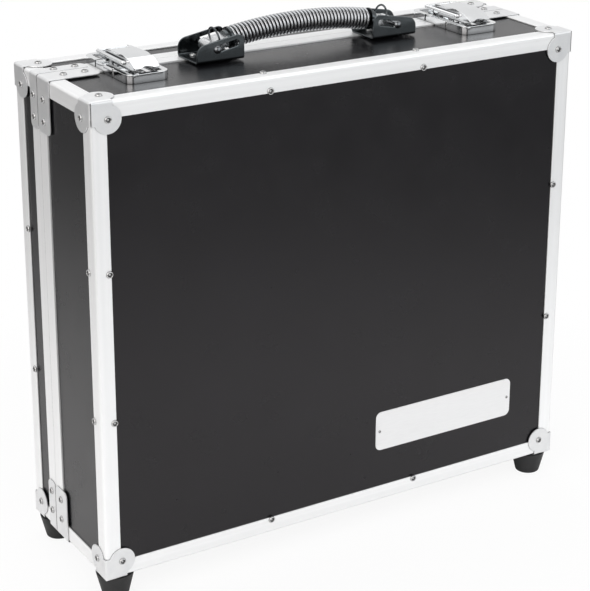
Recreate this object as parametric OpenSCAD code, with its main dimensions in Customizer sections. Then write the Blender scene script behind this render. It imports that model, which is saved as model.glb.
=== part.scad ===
// Guitar pedal case: plywood shells in aluminium edging, with steel corners,
// two toggle latches, a spring-wound carrying handle, hinges and rubber feet.
// X runs across the case, the front faces -Y, the lid is the +Y part, +Z is up.
// The origin is on the ground under the middle of the case.

/* [Case] */
// Width over the aluminium edging
case_w = 500; // [460:5:560]
// Depth over the aluminium edging, front to back
case_d = 155; // [150:1:180]
// Height over the aluminium edging, without the feet
case_h = 440; // [400:5:480]
// Depth of the lid, from the back to where it meets the base
lid_d = 50; // [48:1:56]
// Gap between the base and the closed lid
parting_gap = 0.3; // [0.2:0.05:0.6]

/* [Panels and lining] */
// Thickness of the laminated plywood
panel_t = 7; // [6:0.5:9]
// Thickness of the foam on the base's walls
wall_foam_t = 6; // [4:0.5:10]
// Thickness of the foam on the inside of the front panel
floor_foam_t = 8; // [5:0.5:12]
// Thickness of the foam pad in the lid
lid_foam_t = 15; // [10:0.5:20]
// Room round the foam where it is tucked in
foam_gap = 0.4; // [0.3:0.1:1]

/* [Aluminium edging] */
// Width of each leg of the edging
edge_leg = 15; // [14:0.5:18]
// Thickness of its legs
edge_t = 1.5; // [1.2:0.1:2]
// Outside radius of the edging
edge_r = 2.5; // [1.5:0.1:3]
// Rounding of the legs' free edges
edge_lip_r = 0.7; // [0.3:0.1:0.9]
// Thickness of the closing profile at the parting face
web_t = 4; // [3.6:0.1:6]
// Length of the closing profile's inner leg
inner_leg = 12; // [8:0.5:16]
// Width of the groove in the base's closing profile
groove_w = 3.3; // [2.8:0.1:3.8]
// Depth of that groove
groove_d = 2.7; // [2:0.1:3]
// Length of the lid's tongue
tongue_l = 2.1; // [1.2:0.1:2.1]
// Room beside the tongue on its outer side
tongue_out_gap = 0.4; // [0.3:0.05:0.5]
// Room beside the tongue on its inner side
tongue_in_gap = 0.7; // [0.6:0.05:0.9]

/* [Steel corners and braces] */
// Thickness of the corner pieces and braces
plate_t = 1.2; // [1:0.1:1.6]
// Length of a corner piece along each edge
corner_square = 20; // [18:0.5:24]
// Distance of each lobe's centre from the edges
lobe_at = 15.5; // [14.5:0.5:18]
// Radius of each lobe
lobe_r = 12.5; // [10:0.5:14]
// Outside radius of the bends
bend_r = 2.6; // [2:0.1:3]
// Length of each leg of a brace
brace_leg = 49; // [44:1:56]
// Width of a brace on the base, along the depth of the case
brace_w = 24; // [20:0.5:26]
// Width of a brace on the lid, along the depth of the case
lid_brace_w = 15; // [14:0.5:18]
// Radius of a brace's free corners
brace_r = 5; // [2:0.5:8]
// Distance between a brace and the parting plane
brace_set = 0.6; // [0.4:0.1:1]

/* [Rivets] */
// Diameter of the rivet heads
rivet_d = 6.5; // [5:0.1:7.5]
// Height of the rivet heads
rivet_h = 1.5; // [1:0.1:2]
// Diameter of the rivet shanks
shank_d = 4; // [3:0.1:4.5]
// Distance of the edging's rivets from the outer edge
rivet_at = 13; // [10:0.5:14]
// Distance of the front rivets from the middle of the width
rivet_x = 80; // [50:5:120]
// Distance of the side rivets from the middle of the height
rivet_z = 69; // [50:1:100]
// Distance of a brace's first rivet from the edge
brace_rivet_a = 18.5; // [16:0.5:22]
// Distance of a brace's second rivet from the edge
brace_rivet_b = 38.5; // [36:0.5:40]

/* [Feet] */
// Height of the feet
foot_h = 22.5; // [18:0.5:28]
// Diameter of a foot at the case
foot_top_d = 35; // [30:0.5:36]
// Diameter of a foot at the ground
foot_bottom_d = 24; // [20:0.5:27]
// Rounding of a foot's lower edge
foot_edge_r = 1.5; // [0.5:0.25:2]
// Diameter of the recess for the screw head
foot_recess_d = 10; // [9:0.5:12]
// Depth of the recess for the screw head
foot_recess_h = 13; // [8:0.5:15]
// Diameter of the screw head
screw_head_d = 7.6; // [6:0.2:8]

/* [Hinges] */
// Length of each hinge along the case
hinge_l = 60; // [40:5:80]
// Distance of the hinges' middles from the sides of the case
hinge_in = 120; // [100:5:160]
// Width of a hinge leaf
leaf_w = 24; // [18:1:26]
// Thickness of a hinge leaf
leaf_t = 1.5; // [1.2:0.1:1.8]
// Radius of the hinge knuckles
knuckle_r = 3.2; // [2.8:0.1:3.8]
// Radius of the hinge pin
hinge_pin_r = 1.5; // [1.2:0.1:1.8]
// Gap between neighbouring knuckles
knuckle_gap = 0.4; // [0.3:0.05:0.8]

/* [Latches] */
// Distance of the latches' middles from the sides of the case
latch_in = 75; // [72:1:100]
// Width of the latch tray and the strike
tray_w = 41; // [40:0.5:44]
// Length of the tray on the base
tray_l = 63; // [60:1:66]
// Length of the strike on the lid
strike_l = 24; // [21:1:34]
// Height of the tray's and the strike's rim
tray_h = 6.4; // [5:0.1:7]
// Height of the floor inside the rim
tray_floor = 3; // [2.5:0.1:4]
// Wall thickness of the pressed tray
tray_t = 1.4; // [1:0.1:1.8]
// Width of the flat rim round the tray's recess
rim_w = 5.4; // [3:0.1:6]
// Radius of the tray's front corners
tray_r = 8; // [6.5:0.5:10]
// Distance of the tray and the strike from the parting plane
tray_set = 1; // [0.6:0.1:1.6]
// Distances of the tray's two rivets from the parting plane
tray_rivets = [15, 41]; // [12:0.5:50]
// Distance of the notches in the tray's sides from the parting plane
notch_y = 35; // [24:0.5:40]
// Radius of those notches
notch_r = 1.3; // [1:0.1:1.8]
// Width of the latch lever
lever_w = 24; // [22:0.5:26]
// Thickness of the lever's sheet
lever_t = 1.5; // [1:0.1:2]
// Distance of the lever's pivot in front of the parting plane
pivot_set = 6; // [5:0.1:9]
// Height of the lever's pivot over the top edging
pivot_h = 13.2; // [12.8:0.1:13.6]
// Radius of the lever's rolled rear end
curl_r = 3.5; // [3:0.1:3.8]
// Length of the lever from its pivot to the lip
lever_l = 55; // [52:0.5:57]
// Distance of the lever's crease from its pivot
crease_at = 31; // [28:0.5:34]
// Height of the crease over the top edging
crease_h = 18; // [17:0.1:20]
// Distance of the second bend, where the lip turns down, from the pivot
bend_at = 45; // [42:0.5:47]
// Height of the second bend over the top edging
bend_h = 15.6; // [15:0.1:16.4]
// Height of the lip's end over the top edging
lip_h = 10.4; // [9.6:0.1:11]
// Rise of the arch in the lip's end, for a finger
lip_arch = 2.4; // [1:0.1:3]
// Radius of the lever's front corners
lever_r = 3; // [1:0.5:6]
// Height of the cheeks' lower edge over the top edging
cheek_h = 6.8; // [5.5:0.1:8]
// Distance from the pivot to where the cheeks reach that height
cheek_at = 9; // [6:0.5:14]
// Distance of the bail's pivot in front of the lever's pivot
link_l = 36; // [33:0.5:38]
// Height of the bail over the top edging
bail_h = 12.4; // [12:0.1:12.8]
// Diameter of the bail's wire
bail_d = 3.5; // [3:0.1:3.8]
// Distance of the bail's cross wire behind the parting plane
catch_y = 7; // [6:0.1:9]
// Height of the strike's hook over the top edging
hook_h = 10.1; // [8:0.1:10.1]
// Width of the strike's hook
hook_w = 18; // [12:0.5:22]
// Distance of the strike's two rivets from its middle
strike_rivet_x = 10.2; // [9:0.1:10.5]
// Distance of the strike's rivets behind the parting plane
strike_rivet_y = 15; // [13.5:0.5:15.5]
// Radius of the lever's pivot pin
pivot_pin_r = 1.5; // [1.2:0.1:1.7]

/* [Handle] */
// Distance of the handle's middle line in front of the parting plane
handle_set = 20.8; // [20:0.2:26]
// Distance between the two pins at rest
pin_span = 191; // [170:1:200]
// Height of the pins over the top edging at rest
pin_h = 11.6; // [11.2:0.1:12.4]
// Height of the grip's middle line over the top edging
grip_h = 22.4; // [22:0.2:24]
// Radius of the pins
pin_r = 2.3; // [2:0.1:2.4]
// Width of a bracket over its two ears
bracket_w = 38; // [34:0.5:40]
// Thickness of the bracket's steel
bracket_t = 1.6; // [1.2:0.1:2]
// Distance of a bracket's inner end from its pin
bracket_in = 27; // [26:0.5:30]
// Distance of a bracket's outer end from its pin
bracket_out = 20.5; // [16:0.5:24]
// Outside radius of the bends between the bracket's base and its ears
bracket_bend_r = 3; // [2.2:0.1:4]
// Height of the ears at the inner end
ear_in_h = 24; // [23.5:0.5:27]
// Height of the ears at the outer end
ear_out_h = 15.8; // [15.5:0.1:18]
// Rounding of the ears' outer ends
ear_out_r = 9; // [6:0.5:10]
// Rounding of the ears' inner ends
ear_in_r = 6.5; // [4:0.5:8]
// Distance of the bracket's rivets from the handle's middle line
bracket_rivet_y = 9; // [6:0.5:11]
// Travel of a pin along its slot
slot_travel = 19; // [14:0.5:19]
// Rise of the slot towards the middle, in degrees
slot_angle = 11; // [8:0.5:12]
// Radius of the slot's ends
slot_r = 3; // [2.9:0.1:3.2]
// Length of the grip's wound part
coil_l = 146; // [136:2:148]
// Radius of the wound part over the wire
coil_outer_r = 10.2; // [9.8:0.1:11]
// Diameter of the coil's wire
coil_wire = 2.3; // [2:0.1:2.4]
// Turns of the coil
coil_turns = 40; // [32:1:41]
// Radius of the grip's rubber core
core_r = 6.8; // [6:0.1:6.9]
// Half thickness of the lug round its pin
lug_r = 5.2; // [4.6:0.1:5.6]
// Thickness of the lug's bar
lug_t = 9; // [8:0.5:10]
// Width of the lug
lug_w = 16.8; // [14:0.2:18]
// Thickness of the ferrule's flange at each end of the coil
ferrule_t = 2; // [1.5:0.1:3]
// Length of the ferrule's neck, between the flange and the lug
neck_l = 4; // [3:0.1:5]
// Radius of the ferrule's neck
neck_r = 8; // [7:0.1:8.8]
// Diameter of the wire clip on each lug
clip_d = 1.8; // [1.4:0.1:2.2]
// Distance of the wire clip from the pin
clip_at = 8; // [7:0.5:9]
// Height of the clip's middle over the lug's middle line
clip_rise = 4.5; // [2:0.5:6]

/* [Name plate] */
// Width of the bare name plate
plate_w = 160; // [100:5:200]
// Height of the bare name plate
plate_h = 40; // [30:1:50]
// Thickness of the bare name plate
plate_d = 0.8; // [0.5:0.1:1.2]
// Distance of its middle from the right side of the case
plate_in = 134; // [120:1:170]
// Height of its middle over the bottom edging
plate_z = 73; // [50:1:200]
// Radius of its corners
plate_r = 6; // [2:0.5:10]

/* [Hidden] */

$fn = 48;
rivet_fn = 20;
over = 1;                 // how far a cutting tool reaches past what it cuts
fit_gap = 0.05;           // radial room of a running fit
fillet_steps = 6;

seam = 0.8;               // open seam where a corner piece was folded
mitre_gap = 0.1;           // between the mitred ends of the closing profiles

// Main planes
x_side = case_w / 2;
y_front = -case_d / 2;
y_back = case_d / 2;
y_part = y_back - lid_d;
y_base_end = y_part - parting_gap / 2;
y_lid_start = y_part + parting_gap / 2;
z_bottom = foot_h + plate_t;
z_top = z_bottom + case_h;
z_mid = (z_bottom + z_top) / 2;
wall_in = edge_t + panel_t;             // from the outside to the panel's inner face
profile_in = wall_in + edge_t;          // from the outside to the closing profile's inner face

// Tongue and groove, as distances in from the outside
groove_in = edge_t + (panel_t - groove_w) / 2;
tongue_in = groove_in + tongue_out_gap;
tongue_w = groove_w - tongue_out_gap - tongue_in_gap;

// Feet and corner lobes share one axis
foot_at = lobe_at;

// Places that keep their distance from the sides
hinge_x = x_side - hinge_in;
latch_x = x_side - latch_in;
plate_x = x_side - plate_in;

// Hinge
hinge_y = y_part;
hinge_z = z_bottom - knuckle_r - 0.2;
knuckles = 5;
knuckle_l = hinge_l / knuckles;

// Latch, with heights over z_top
latch_z = z_top;
pivot_y = y_part - pivot_set;
bail_y = pivot_y - link_l;
cross_y = y_part + catch_y;
bail_r = bail_d / 2;
bail_x = lever_w / 2 + 0.45 + bail_r;
ear_x = 6.5;                            // inner face of the tray's lugs
ear_t = 2;
lug_gap = 0.4;
lever_relief = 3.8;                     // from the pivot to the edge of the room for the lugs

// Handle, with heights over z_top
handle_y = y_part - handle_set;
pin_x = pin_span / 2;
arch_rise = grip_h - pin_h;
arch_r = (pin_x * pin_x + arch_rise * arch_rise) / (2 * arch_rise);
arch_z = grip_h - arch_r;
coil_r = coil_outer_r - coil_wire / 2;
coil_half_angle = asin(coil_l / 2 / arch_r);
ferrule_l = ferrule_t + neck_l;
ferrule_angle = ferrule_l / arch_r * 180 / PI;
mid_gap = 0.3;
notch_angle = 22;                       // room under the middle of the core when it bends
pin_head_r = 3.8;
pin_head_h = 2.5;
pin_head_gap = 0.3;
clip_tip = 2;                           // how far the clip's tips enter the lug

// ---- Helpers ----

module flip_x() mirror([1, 0, 0]) children();
module flip_y() mirror([0, 1, 0]) children();
module flip_z() translate([0, 0, 2 * z_mid]) mirror([0, 0, 1]) children();

// The same piece at the left and the right
module both_x() {
    children();
    flip_x() children();
}

// The same piece at the top and the bottom
module both_z() {
    children();
    flip_z() children();
}

module box(lo, hi) translate(lo) cube(hi - lo);

function unit(v) = v / norm(v);

// Points of an arc that rounds the corner at b, between a and c
function fillet(a, b, c, r) = r == 0 ? [b] :
    let (u = unit(a - b), v = unit(c - b),
         half = acos(u * v) / 2,
         o = b + unit(u + v) * r / sin(half),
         p = b + u * r / tan(half) - o,
         q = b + v * r / tan(half) - o,
         a0 = atan2(p.y, p.x),
         turn = atan2(p.x * q.y - p.y * q.x, p * q))
    [for (i = [0:fillet_steps]) o + r * [cos(a0 + turn * i / fillet_steps), sin(a0 + turn * i / fillet_steps)]];

// A polygon's points with each corner rounded by its own radius
function rounded(pts, radii) =
    let (n = len(pts))
    [for (i = [0:n - 1]) each fillet(pts[(i + n - 1) % n], pts[i], pts[(i + 1) % n], radii[i])];

// A rectangle from lo to hi with radii for its four corners, from lo round anticlockwise
function rounded_box(lo, hi, radii) =
    rounded([lo, [hi.x, lo.y], hi, [lo.x, hi.y]], radii);

// ---- Plywood panels ----

module panel(lo, hi) color([0.15, 0.15, 0.16]) box(lo, hi);

module end_panel(y0) {
    panel([-x_side + edge_t, y0, z_bottom + edge_t], [x_side - edge_t, y0 + panel_t, z_top - edge_t]);
}

module top_panel(y0, y1) {
    panel([-x_side + edge_t, y0, z_top - wall_in], [x_side - edge_t, y1, z_top - edge_t]);
}

module left_panel(y0, y1) {
    panel([-x_side + edge_t, y0, z_bottom + wall_in], [-x_side + wall_in, y1, z_top - wall_in]);
}

base_panel_y = [y_front + wall_in, y_base_end - web_t];
lid_panel_y = [y_lid_start + web_t, y_back - wall_in];

module base_front_panel() end_panel(y_front + edge_t);
module base_top_panel() top_panel(base_panel_y[0], base_panel_y[1]);
module base_bottom_panel() flip_z() base_top_panel();
module base_left_panel() left_panel(base_panel_y[0], base_panel_y[1]);
module base_right_panel() flip_x() base_left_panel();
module lid_back_panel() end_panel(y_back - wall_in);
module lid_top_panel() top_panel(lid_panel_y[0], lid_panel_y[1]);
module lid_bottom_panel() flip_z() lid_top_panel();
module lid_left_panel() left_panel(lid_panel_y[0], lid_panel_y[1]);
module lid_right_panel() flip_x() lid_left_panel();

// ---- Aluminium edging ----

// Angle section: outer corner at the origin, legs along +X and +Y, their free edges rounded
module angle_section() {
    polygon(rounded(
        [[0, 0], [edge_leg, 0], [edge_leg, edge_t], [edge_t, edge_t], [edge_t, edge_leg], [0, edge_leg]],
        [edge_r, edge_lip_r, 0, 0, 0, edge_lip_r]));
}

module angle_bar(length) color([0.82, 0.83, 0.84]) linear_extrude(length) angle_section();

// Rails run the full width along the top and bottom of the front
module front_edge_rails() {
    both_z() translate([-x_side, y_front, z_top]) rotate([0, 90, 0]) angle_bar(case_w);
}

// Posts stand between the rails
module front_edge_posts() {
    both_x() translate([-x_side, y_front, z_bottom + edge_leg]) angle_bar(case_h - 2 * edge_leg);
}

// Short bars along the four corners that run front to back
module corner_edging(y0, y1) {
    both_x() both_z() translate([-x_side, y0, z_top]) rotate([-90, 0, 0]) angle_bar(y1 - y0);
}

module base_corner_edging() corner_edging(y_front + edge_leg, y_base_end - edge_leg);
module lid_corner_edging() corner_edging(y_lid_start + edge_leg, y_back - edge_leg);
module back_edge_rails() flip_y() front_edge_rails();
module back_edge_posts() flip_y() front_edge_posts();

// A frame round the case's opening, between two distances in from the outside
module frame(in0, in1, y0, y1, r = 0) {
    translate([0, y1, z_mid]) rotate([90, 0, 0]) linear_extrude(y1 - y0) difference() {
        polygon(rounded_box([in0 - x_side, in0 - case_h / 2], [x_side - in0, case_h / 2 - in0], [r, r, r, r]));
        square([case_w - 2 * in1, case_h - 2 * in1], center = true);
    }
}

// One of four bars cut from a frame at 45 degree mitres
module mitred(side) {
    k = profile_in + over;
    g = mitre_gap * sqrt(2) / 2;
    w = x_side + over;
    h = case_h / 2 + over;
    wx = x_side - k;
    wz = case_h / 2 - k;
    bars = [
        [[g - w, h], [w - g, h], [wx - g, wz], [g - wx, wz]],
        [[g - w, -h], [w - g, -h], [wx - g, -wz], [g - wx, -wz]],
        [[-w, h - g], [-wx, wz - g], [-wx, g - wz], [-w, g - h]],
        [[w, h - g], [wx, wz - g], [wx, g - wz], [w, g - h]]
    ];
    intersection() {
        children();
        translate([0, case_d, z_mid]) rotate([90, 0, 0]) linear_extrude(2 * case_d) polygon(bars[side]);
    }
}

// Closing profile of the base, with the groove in its parting face
module base_closing_frame() {
    difference() {
        union() {
            frame(0, edge_t, y_base_end - edge_leg, y_base_end, edge_r);
            frame(0, profile_in, y_base_end - web_t, y_base_end, edge_r);
            frame(wall_in, profile_in, y_base_end - inner_leg, y_base_end);
        }
        frame(groove_in, groove_in + groove_w, y_base_end - groove_d, y_base_end + over);
    }
}

// Closing profile of the lid, with the tongue that enters the groove
module lid_closing_frame() {
    frame(0, edge_t, y_lid_start, y_lid_start + edge_leg, edge_r);
    frame(0, profile_in, y_lid_start, y_lid_start + web_t, edge_r);
    frame(wall_in, profile_in, y_lid_start, y_lid_start + inner_leg);
    frame(tongue_in, tongue_in + tongue_w, y_lid_start - tongue_l, y_lid_start + over);
}

module base_closing_profiles() {
    color([0.8, 0.81, 0.82]) for (side = [0:3]) mitred(side) base_closing_frame();
}

module lid_closing_profiles() {
    color([0.8, 0.81, 0.82]) for (side = [0:3]) mitred(side) lid_closing_frame();
}

// ---- Rivets ----

// Domed head on the plane z = 0, with a shank of length grip below it
module rivet(grip = 0, head_d = rivet_d, head_h = rivet_h) {
    dome_r = (head_d * head_d / 4 + head_h * head_h) / (2 * head_h);
    rotate_extrude($fn = rivet_fn) union() {
        intersection() {
            translate([0, head_h - dome_r]) circle(dome_r, $fn = 96);
            square([head_d / 2, head_h]);
        }
        if (grip > 0) translate([0, -grip]) square([shank_d / 2, grip + head_h / 3]);
    }
}

// ---- Steel corner pieces ----

// Outline of one of the three lobes, from the corner along both edges
module lobe() {
    difference() {
        union() {
            translate([-plate_t, -plate_t]) square(corner_square + plate_t);
            translate([lobe_at, lobe_at]) circle(lobe_r);
        }
        translate([lobe_at, lobe_at]) circle(d = shank_d);
    }
}

// Cuts the outside of a bend round, along Z
module bend_cut(length) {
    linear_extrude(length) difference() {
        translate([-plate_t - over, -plate_t - over]) square(bend_r + over);
        translate([bend_r - plate_t, bend_r - plate_t]) circle(bend_r);
    }
}

// Corner piece at the origin: front lobe faces -Y, side lobe -X, top lobe +Z.
// One edge stays open, where the sheet was folded: along Z or along Y. The side lobe
// runs past that edge, and the seam lies between it and the next lobe.
module corner_piece(open_edge) {
    length = corner_square + 2 * lobe_r;
    gap = plate_t + over;
    color([0.74, 0.75, 0.77]) difference() {
        union() {
            translate([0, -plate_t, 0]) rotate([-90, 0, 0]) linear_extrude(plate_t) lobe();
            mirror([1, -1, 0]) translate([0, -plate_t, 0]) rotate([-90, 0, 0]) linear_extrude(plate_t) lobe();
            linear_extrude(plate_t) lobe();
        }
        translate([0, 0, -length]) bend_cut(length + 2 * plate_t);
        rotate([0, 90, 0]) translate([0, 0, -2 * plate_t]) bend_cut(length);
        rotate([-90, 0, 0]) translate([0, 0, -2 * plate_t]) bend_cut(length);
        if (open_edge == "z") translate([0, -gap, -length]) cube([seam, gap + over, length]);
        if (open_edge == "y") translate([0, 0, -over]) cube([seam, length, gap + over]);
    }
}

module front_corner_plates() {
    both_x() {
        translate([-x_side, y_front, z_top]) corner_piece("z");
        flip_z() translate([-x_side, y_front, z_top]) corner_piece("y");
    }
}

module back_corner_plates() flip_y() front_corner_plates();

// ---- Braces over the parting line ----

// One leaf of a brace: from the edge along +X, its parting side at y = 0
module brace_leaf(w) {
    linear_extrude(plate_t) difference() {
        polygon(rounded_box([-plate_t, 0], [brace_leg, w], [0, brace_r, brace_r, 0]));
        for (a = [brace_rivet_a, brace_rivet_b]) translate([a, w / 2]) circle(d = shank_d);
    }
}

// Brace at the top left corner, bent over the top and the side
module brace(w) {
    color([0.78, 0.79, 0.81]) translate([-x_side, 0, z_top]) difference() {
        union() {
            brace_leaf(w);
            translate([-plate_t, 0, 0]) rotate([0, 90, 0]) brace_leaf(w);
        }
        rotate([-90, 0, 0]) translate([0, 0, -over]) bend_cut(w + 2 * over);
    }
}

module lid_braces() both_x() both_z() translate([0, y_part + brace_set, 0]) brace(lid_brace_w);
module base_braces() both_x() both_z() translate([0, y_part - brace_set, 0]) flip_y() brace(brace_w);

// ---- Riveting patterns ----

// Rivets in the front lobes and along the front legs of the edging, facing -Y
module front_face_rivets() {
    both_x() both_z() {
        translate([-x_side + lobe_at, y_front - plate_t, z_top - lobe_at]) rotate([90, 0, 0]) rivet(plate_t);
        translate([-rivet_x, y_front, z_top - rivet_at]) rotate([90, 0, 0]) rivet();
        translate([-x_side + rivet_at, y_front, z_mid + rivet_z]) rotate([90, 0, 0]) rivet();
    }
}

// Rivets in the side lobes and the side legs of the front edging, facing outwards
module front_side_rivets() {
    both_x() both_z() {
        translate([-x_side - plate_t, y_front + lobe_at, z_top - lobe_at]) rotate([0, -90, 0]) rivet(plate_t);
        translate([-x_side, y_front + rivet_at, z_mid + rivet_z]) rotate([0, -90, 0]) rivet();
    }
}

// Rivets on the top: the lobes and the top legs. The lower lobes hold the feet instead.
module front_top_rivets() {
    both_x() {
        translate([-x_side + lobe_at, y_front + lobe_at, z_top + plate_t]) rivet(plate_t);
        both_z() translate([-rivet_x, y_front + rivet_at, z_top]) rivet();
    }
}

// Two rivets in the middle of each leg of the braces of width w, on the lid (dir 1) or the base (-1)
module brace_rivets(dir, w) {
    y = y_part + dir * (brace_set + w / 2);
    both_x() both_z() for (a = [brace_rivet_a, brace_rivet_b]) {
        translate([-x_side + a, y, z_top + plate_t]) rivet(plate_t);
        translate([-x_side - plate_t, y, z_top - a]) rotate([0, -90, 0]) rivet(plate_t);
    }
}

module name_plate_rivets() {
    pin_in = 4.2;
    pin_d = 3;
    for (side = [-1, 1])
        translate([plate_x + side * (plate_w / 2 - pin_in), y_front + edge_t - plate_d, z_bottom + plate_z])
            rotate([90, 0, 0]) rivet(0, pin_d, pin_d / 4);
}

// Rivets that hold the latch trays and the handle's brackets
module hardware_rivets() {
    both_x() {
        for (back = tray_rivets) translate([-latch_x, y_part - back, z_top + tray_floor]) rivet();
        for (x = [-pin_x + bracket_in / 2, -pin_x - bracket_out / 2], side = [-1, 1])
            translate([x, handle_y + side * bracket_rivet_y, z_top + bracket_t]) rivet();
    }
}

module base_rivets() {
    color([0.86, 0.87, 0.88]) {
        front_face_rivets();
        front_side_rivets();
        front_top_rivets();
        brace_rivets(-1, brace_w);
        name_plate_rivets();
        hardware_rivets();
    }
}

module lid_rivets() {
    color([0.86, 0.87, 0.88]) {
        flip_y() {
            front_face_rivets();
            front_side_rivets();
            front_top_rivets();
        }
        brace_rivets(1, lid_brace_w);
        both_x() for (side = [-1, 1])
            translate([-latch_x + side * strike_rivet_x, y_part + strike_rivet_y, z_top + tray_floor]) rivet();
    }
}

// ---- Feet ----

// Half section of a foot, from its top face down to the ground
module foot_section() {
    polygon(rounded(
        [[shank_d / 2, foot_h], [foot_top_d / 2, foot_h], [foot_bottom_d / 2, 0], [foot_recess_d / 2, 0],
         [foot_recess_d / 2, foot_recess_h], [shank_d / 2, foot_recess_h]],
        [0, 0.6, foot_edge_r, 0, 0, 0]));
}

module feet() {
    color([0.13, 0.13, 0.13]) both_x() translate([-x_side + foot_at, y_front + foot_at, 0])
        rotate_extrude() foot_section();
}

// Pan head screw in the foot's recess, up through the lobe of the corner piece
module foot_screws() {
    head_h = 2.6;
    shank_z = foot_recess_h - head_h / 2;
    color([0.75, 0.76, 0.78]) both_x() translate([-x_side + foot_at, y_front + foot_at, 0]) {
        translate([0, 0, foot_recess_h - head_h]) cylinder(d = screw_head_d, h = head_h);
        translate([0, 0, shank_z]) cylinder(d = shank_d, h = foot_h + plate_t - shank_z);
    }
}

module front_feet() feet();
module rear_feet() flip_y() feet();
module front_foot_screws() foot_screws();
module rear_foot_screws() flip_y() foot_screws();

// ---- Hinges ----

// Start of knuckle i along a hinge, from its middle
function knuckle_x(i) = -hinge_l / 2 + i * knuckle_l;

// Leaf towards +Y, with the knuckles whose numbers are listed
module hinge_half(numbers, bore_r, others) {
    color([0.76, 0.77, 0.79]) difference() {
        union() {
            translate([-hinge_l / 2, hinge_y + parting_gap, z_bottom - leaf_t])
                cube([hinge_l, leaf_w, leaf_t]);
            for (i = numbers) translate([knuckle_x(i) + knuckle_gap / 2, hinge_y, hinge_z]) rotate([0, 90, 0])
                cylinder(r = knuckle_r, h = knuckle_l - knuckle_gap);
        }
        for (i = numbers) translate([knuckle_x(i) - over, hinge_y, hinge_z]) rotate([0, 90, 0])
            cylinder(r = bore_r, h = knuckle_l + 2 * over);
        for (i = others) box(
            [knuckle_x(i) - knuckle_gap / 2, hinge_y - over, z_bottom - leaf_t - over],
            [knuckle_x(i) + knuckle_l + knuckle_gap / 2, hinge_y + knuckle_r + knuckle_gap, z_bottom + over]);
    }
}

module lid_hinge_leaves() both_x() translate([hinge_x, 0, 0]) hinge_half([1, 3], hinge_pin_r + fit_gap, [0, 2, 4]);

module base_hinge_leaves() {
    both_x() translate([hinge_x, 2 * hinge_y, 0]) flip_y() hinge_half([0, 2, 4], hinge_pin_r, [1, 3]);
}

module hinge_pins() {
    color([0.7, 0.71, 0.73]) both_x() translate([hinge_x - hinge_l / 2, hinge_y, hinge_z]) rotate([0, 90, 0])
        cylinder(r = hinge_pin_r, h = hinge_l);
}

// ---- Name plate ----

module name_plate() {
    color([0.86, 0.87, 0.88]) translate([plate_x, y_front + edge_t, z_bottom + plate_z]) rotate([90, 0, 0])
        linear_extrude(plate_d)
            polygon(rounded_box([-plate_w / 2, -plate_h / 2], [plate_w / 2, plate_h / 2],
                [plate_r, plate_r, plate_r, plate_r]));
}

// ---- Foam lining ----

module base_lining() {
    lo = [-x_side + wall_in + foam_gap, y_front + wall_in, z_bottom + wall_in + foam_gap];
    hi = [x_side - wall_in - foam_gap, y_base_end - inner_leg - foam_gap, z_top - wall_in - foam_gap];
    color([0.2, 0.2, 0.21]) difference() {
        box(lo, hi);
        box(lo + [wall_foam_t, floor_foam_t, wall_foam_t], hi + [-wall_foam_t, over, -wall_foam_t]);
    }
}

module lid_lining() {
    lo = [-x_side + wall_in + foam_gap, y_back - wall_in - lid_foam_t, z_bottom + wall_in + foam_gap];
    hi = [x_side - wall_in - foam_gap, y_back - wall_in, z_top - wall_in - foam_gap];
    color([0.2, 0.2, 0.21]) box(lo, hi);
}

// ---- Latches ----

// Outline of a pressed tray from y = start, its parting end square and its far end rounded
module tray_outline(length, inset, start) {
    r = tray_r - inset;
    polygon(rounded_box([-tray_w / 2 + inset, start], [tray_w / 2 - inset, length - inset], [0, 0, r, r]));
}

// Pressed tray on the top, from the parting plane towards +Y. Its recess is open at
// the parting plane, and a flat rim runs round the other three sides.
module tray(length) {
    skirt = edge_leg + parting_gap / 2 - tray_set + 0.1;
    difference() {
        translate([0, 0, -edge_t]) linear_extrude(tray_h + edge_t) tray_outline(length, 0, 0);
        translate([0, 0, -edge_t - over]) linear_extrude(edge_t + over + tray_floor - tray_t)
            tray_outline(length, tray_t, tray_t);
        translate([0, 0, -edge_t - over]) linear_extrude(edge_t + over + tray_h - tray_t) difference() {
            tray_outline(length, tray_t, tray_t);
            tray_outline(length, rim_w - tray_t, 0);
        }
        translate([0, 0, tray_floor]) linear_extrude(tray_h) tray_outline(length, rim_w, -over);
        translate([-tray_w, -over, -2 * edge_t]) cube([2 * tray_w, skirt + over, 2 * edge_t]);
    }
}

// The base's tray, with two lugs for the lever's pin and a notch in each side
module latch_tray() {
    lug_r = curl_r - lever_t + 0.4;
    color([0.72, 0.73, 0.75]) difference() {
        union() {
            translate([0, y_part - tray_set, latch_z]) flip_y() tray(tray_l);
            for (side = [-1, 1]) translate([side * (ear_x + ear_t / 2) - ear_t / 2, pivot_y, latch_z])
                rotate([90, 0, 90]) linear_extrude(ear_t) {
                    translate([0, pivot_h]) circle(lug_r);
                    translate([-lug_r, tray_floor - tray_t / 2])
                        square([2 * lug_r, pivot_h - tray_floor + tray_t / 2]);
                }
        }
        translate([-tray_w, pivot_y, latch_z + pivot_h]) rotate([0, 90, 0])
            cylinder(r = pivot_pin_r, h = 2 * tray_w);
        for (side = [-1, 1]) translate([side * tray_w / 2, y_part - notch_y, latch_z - 2 * edge_t])
            cylinder(r = notch_r, h = tray_h + 3 * edge_t);
    }
}

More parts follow.
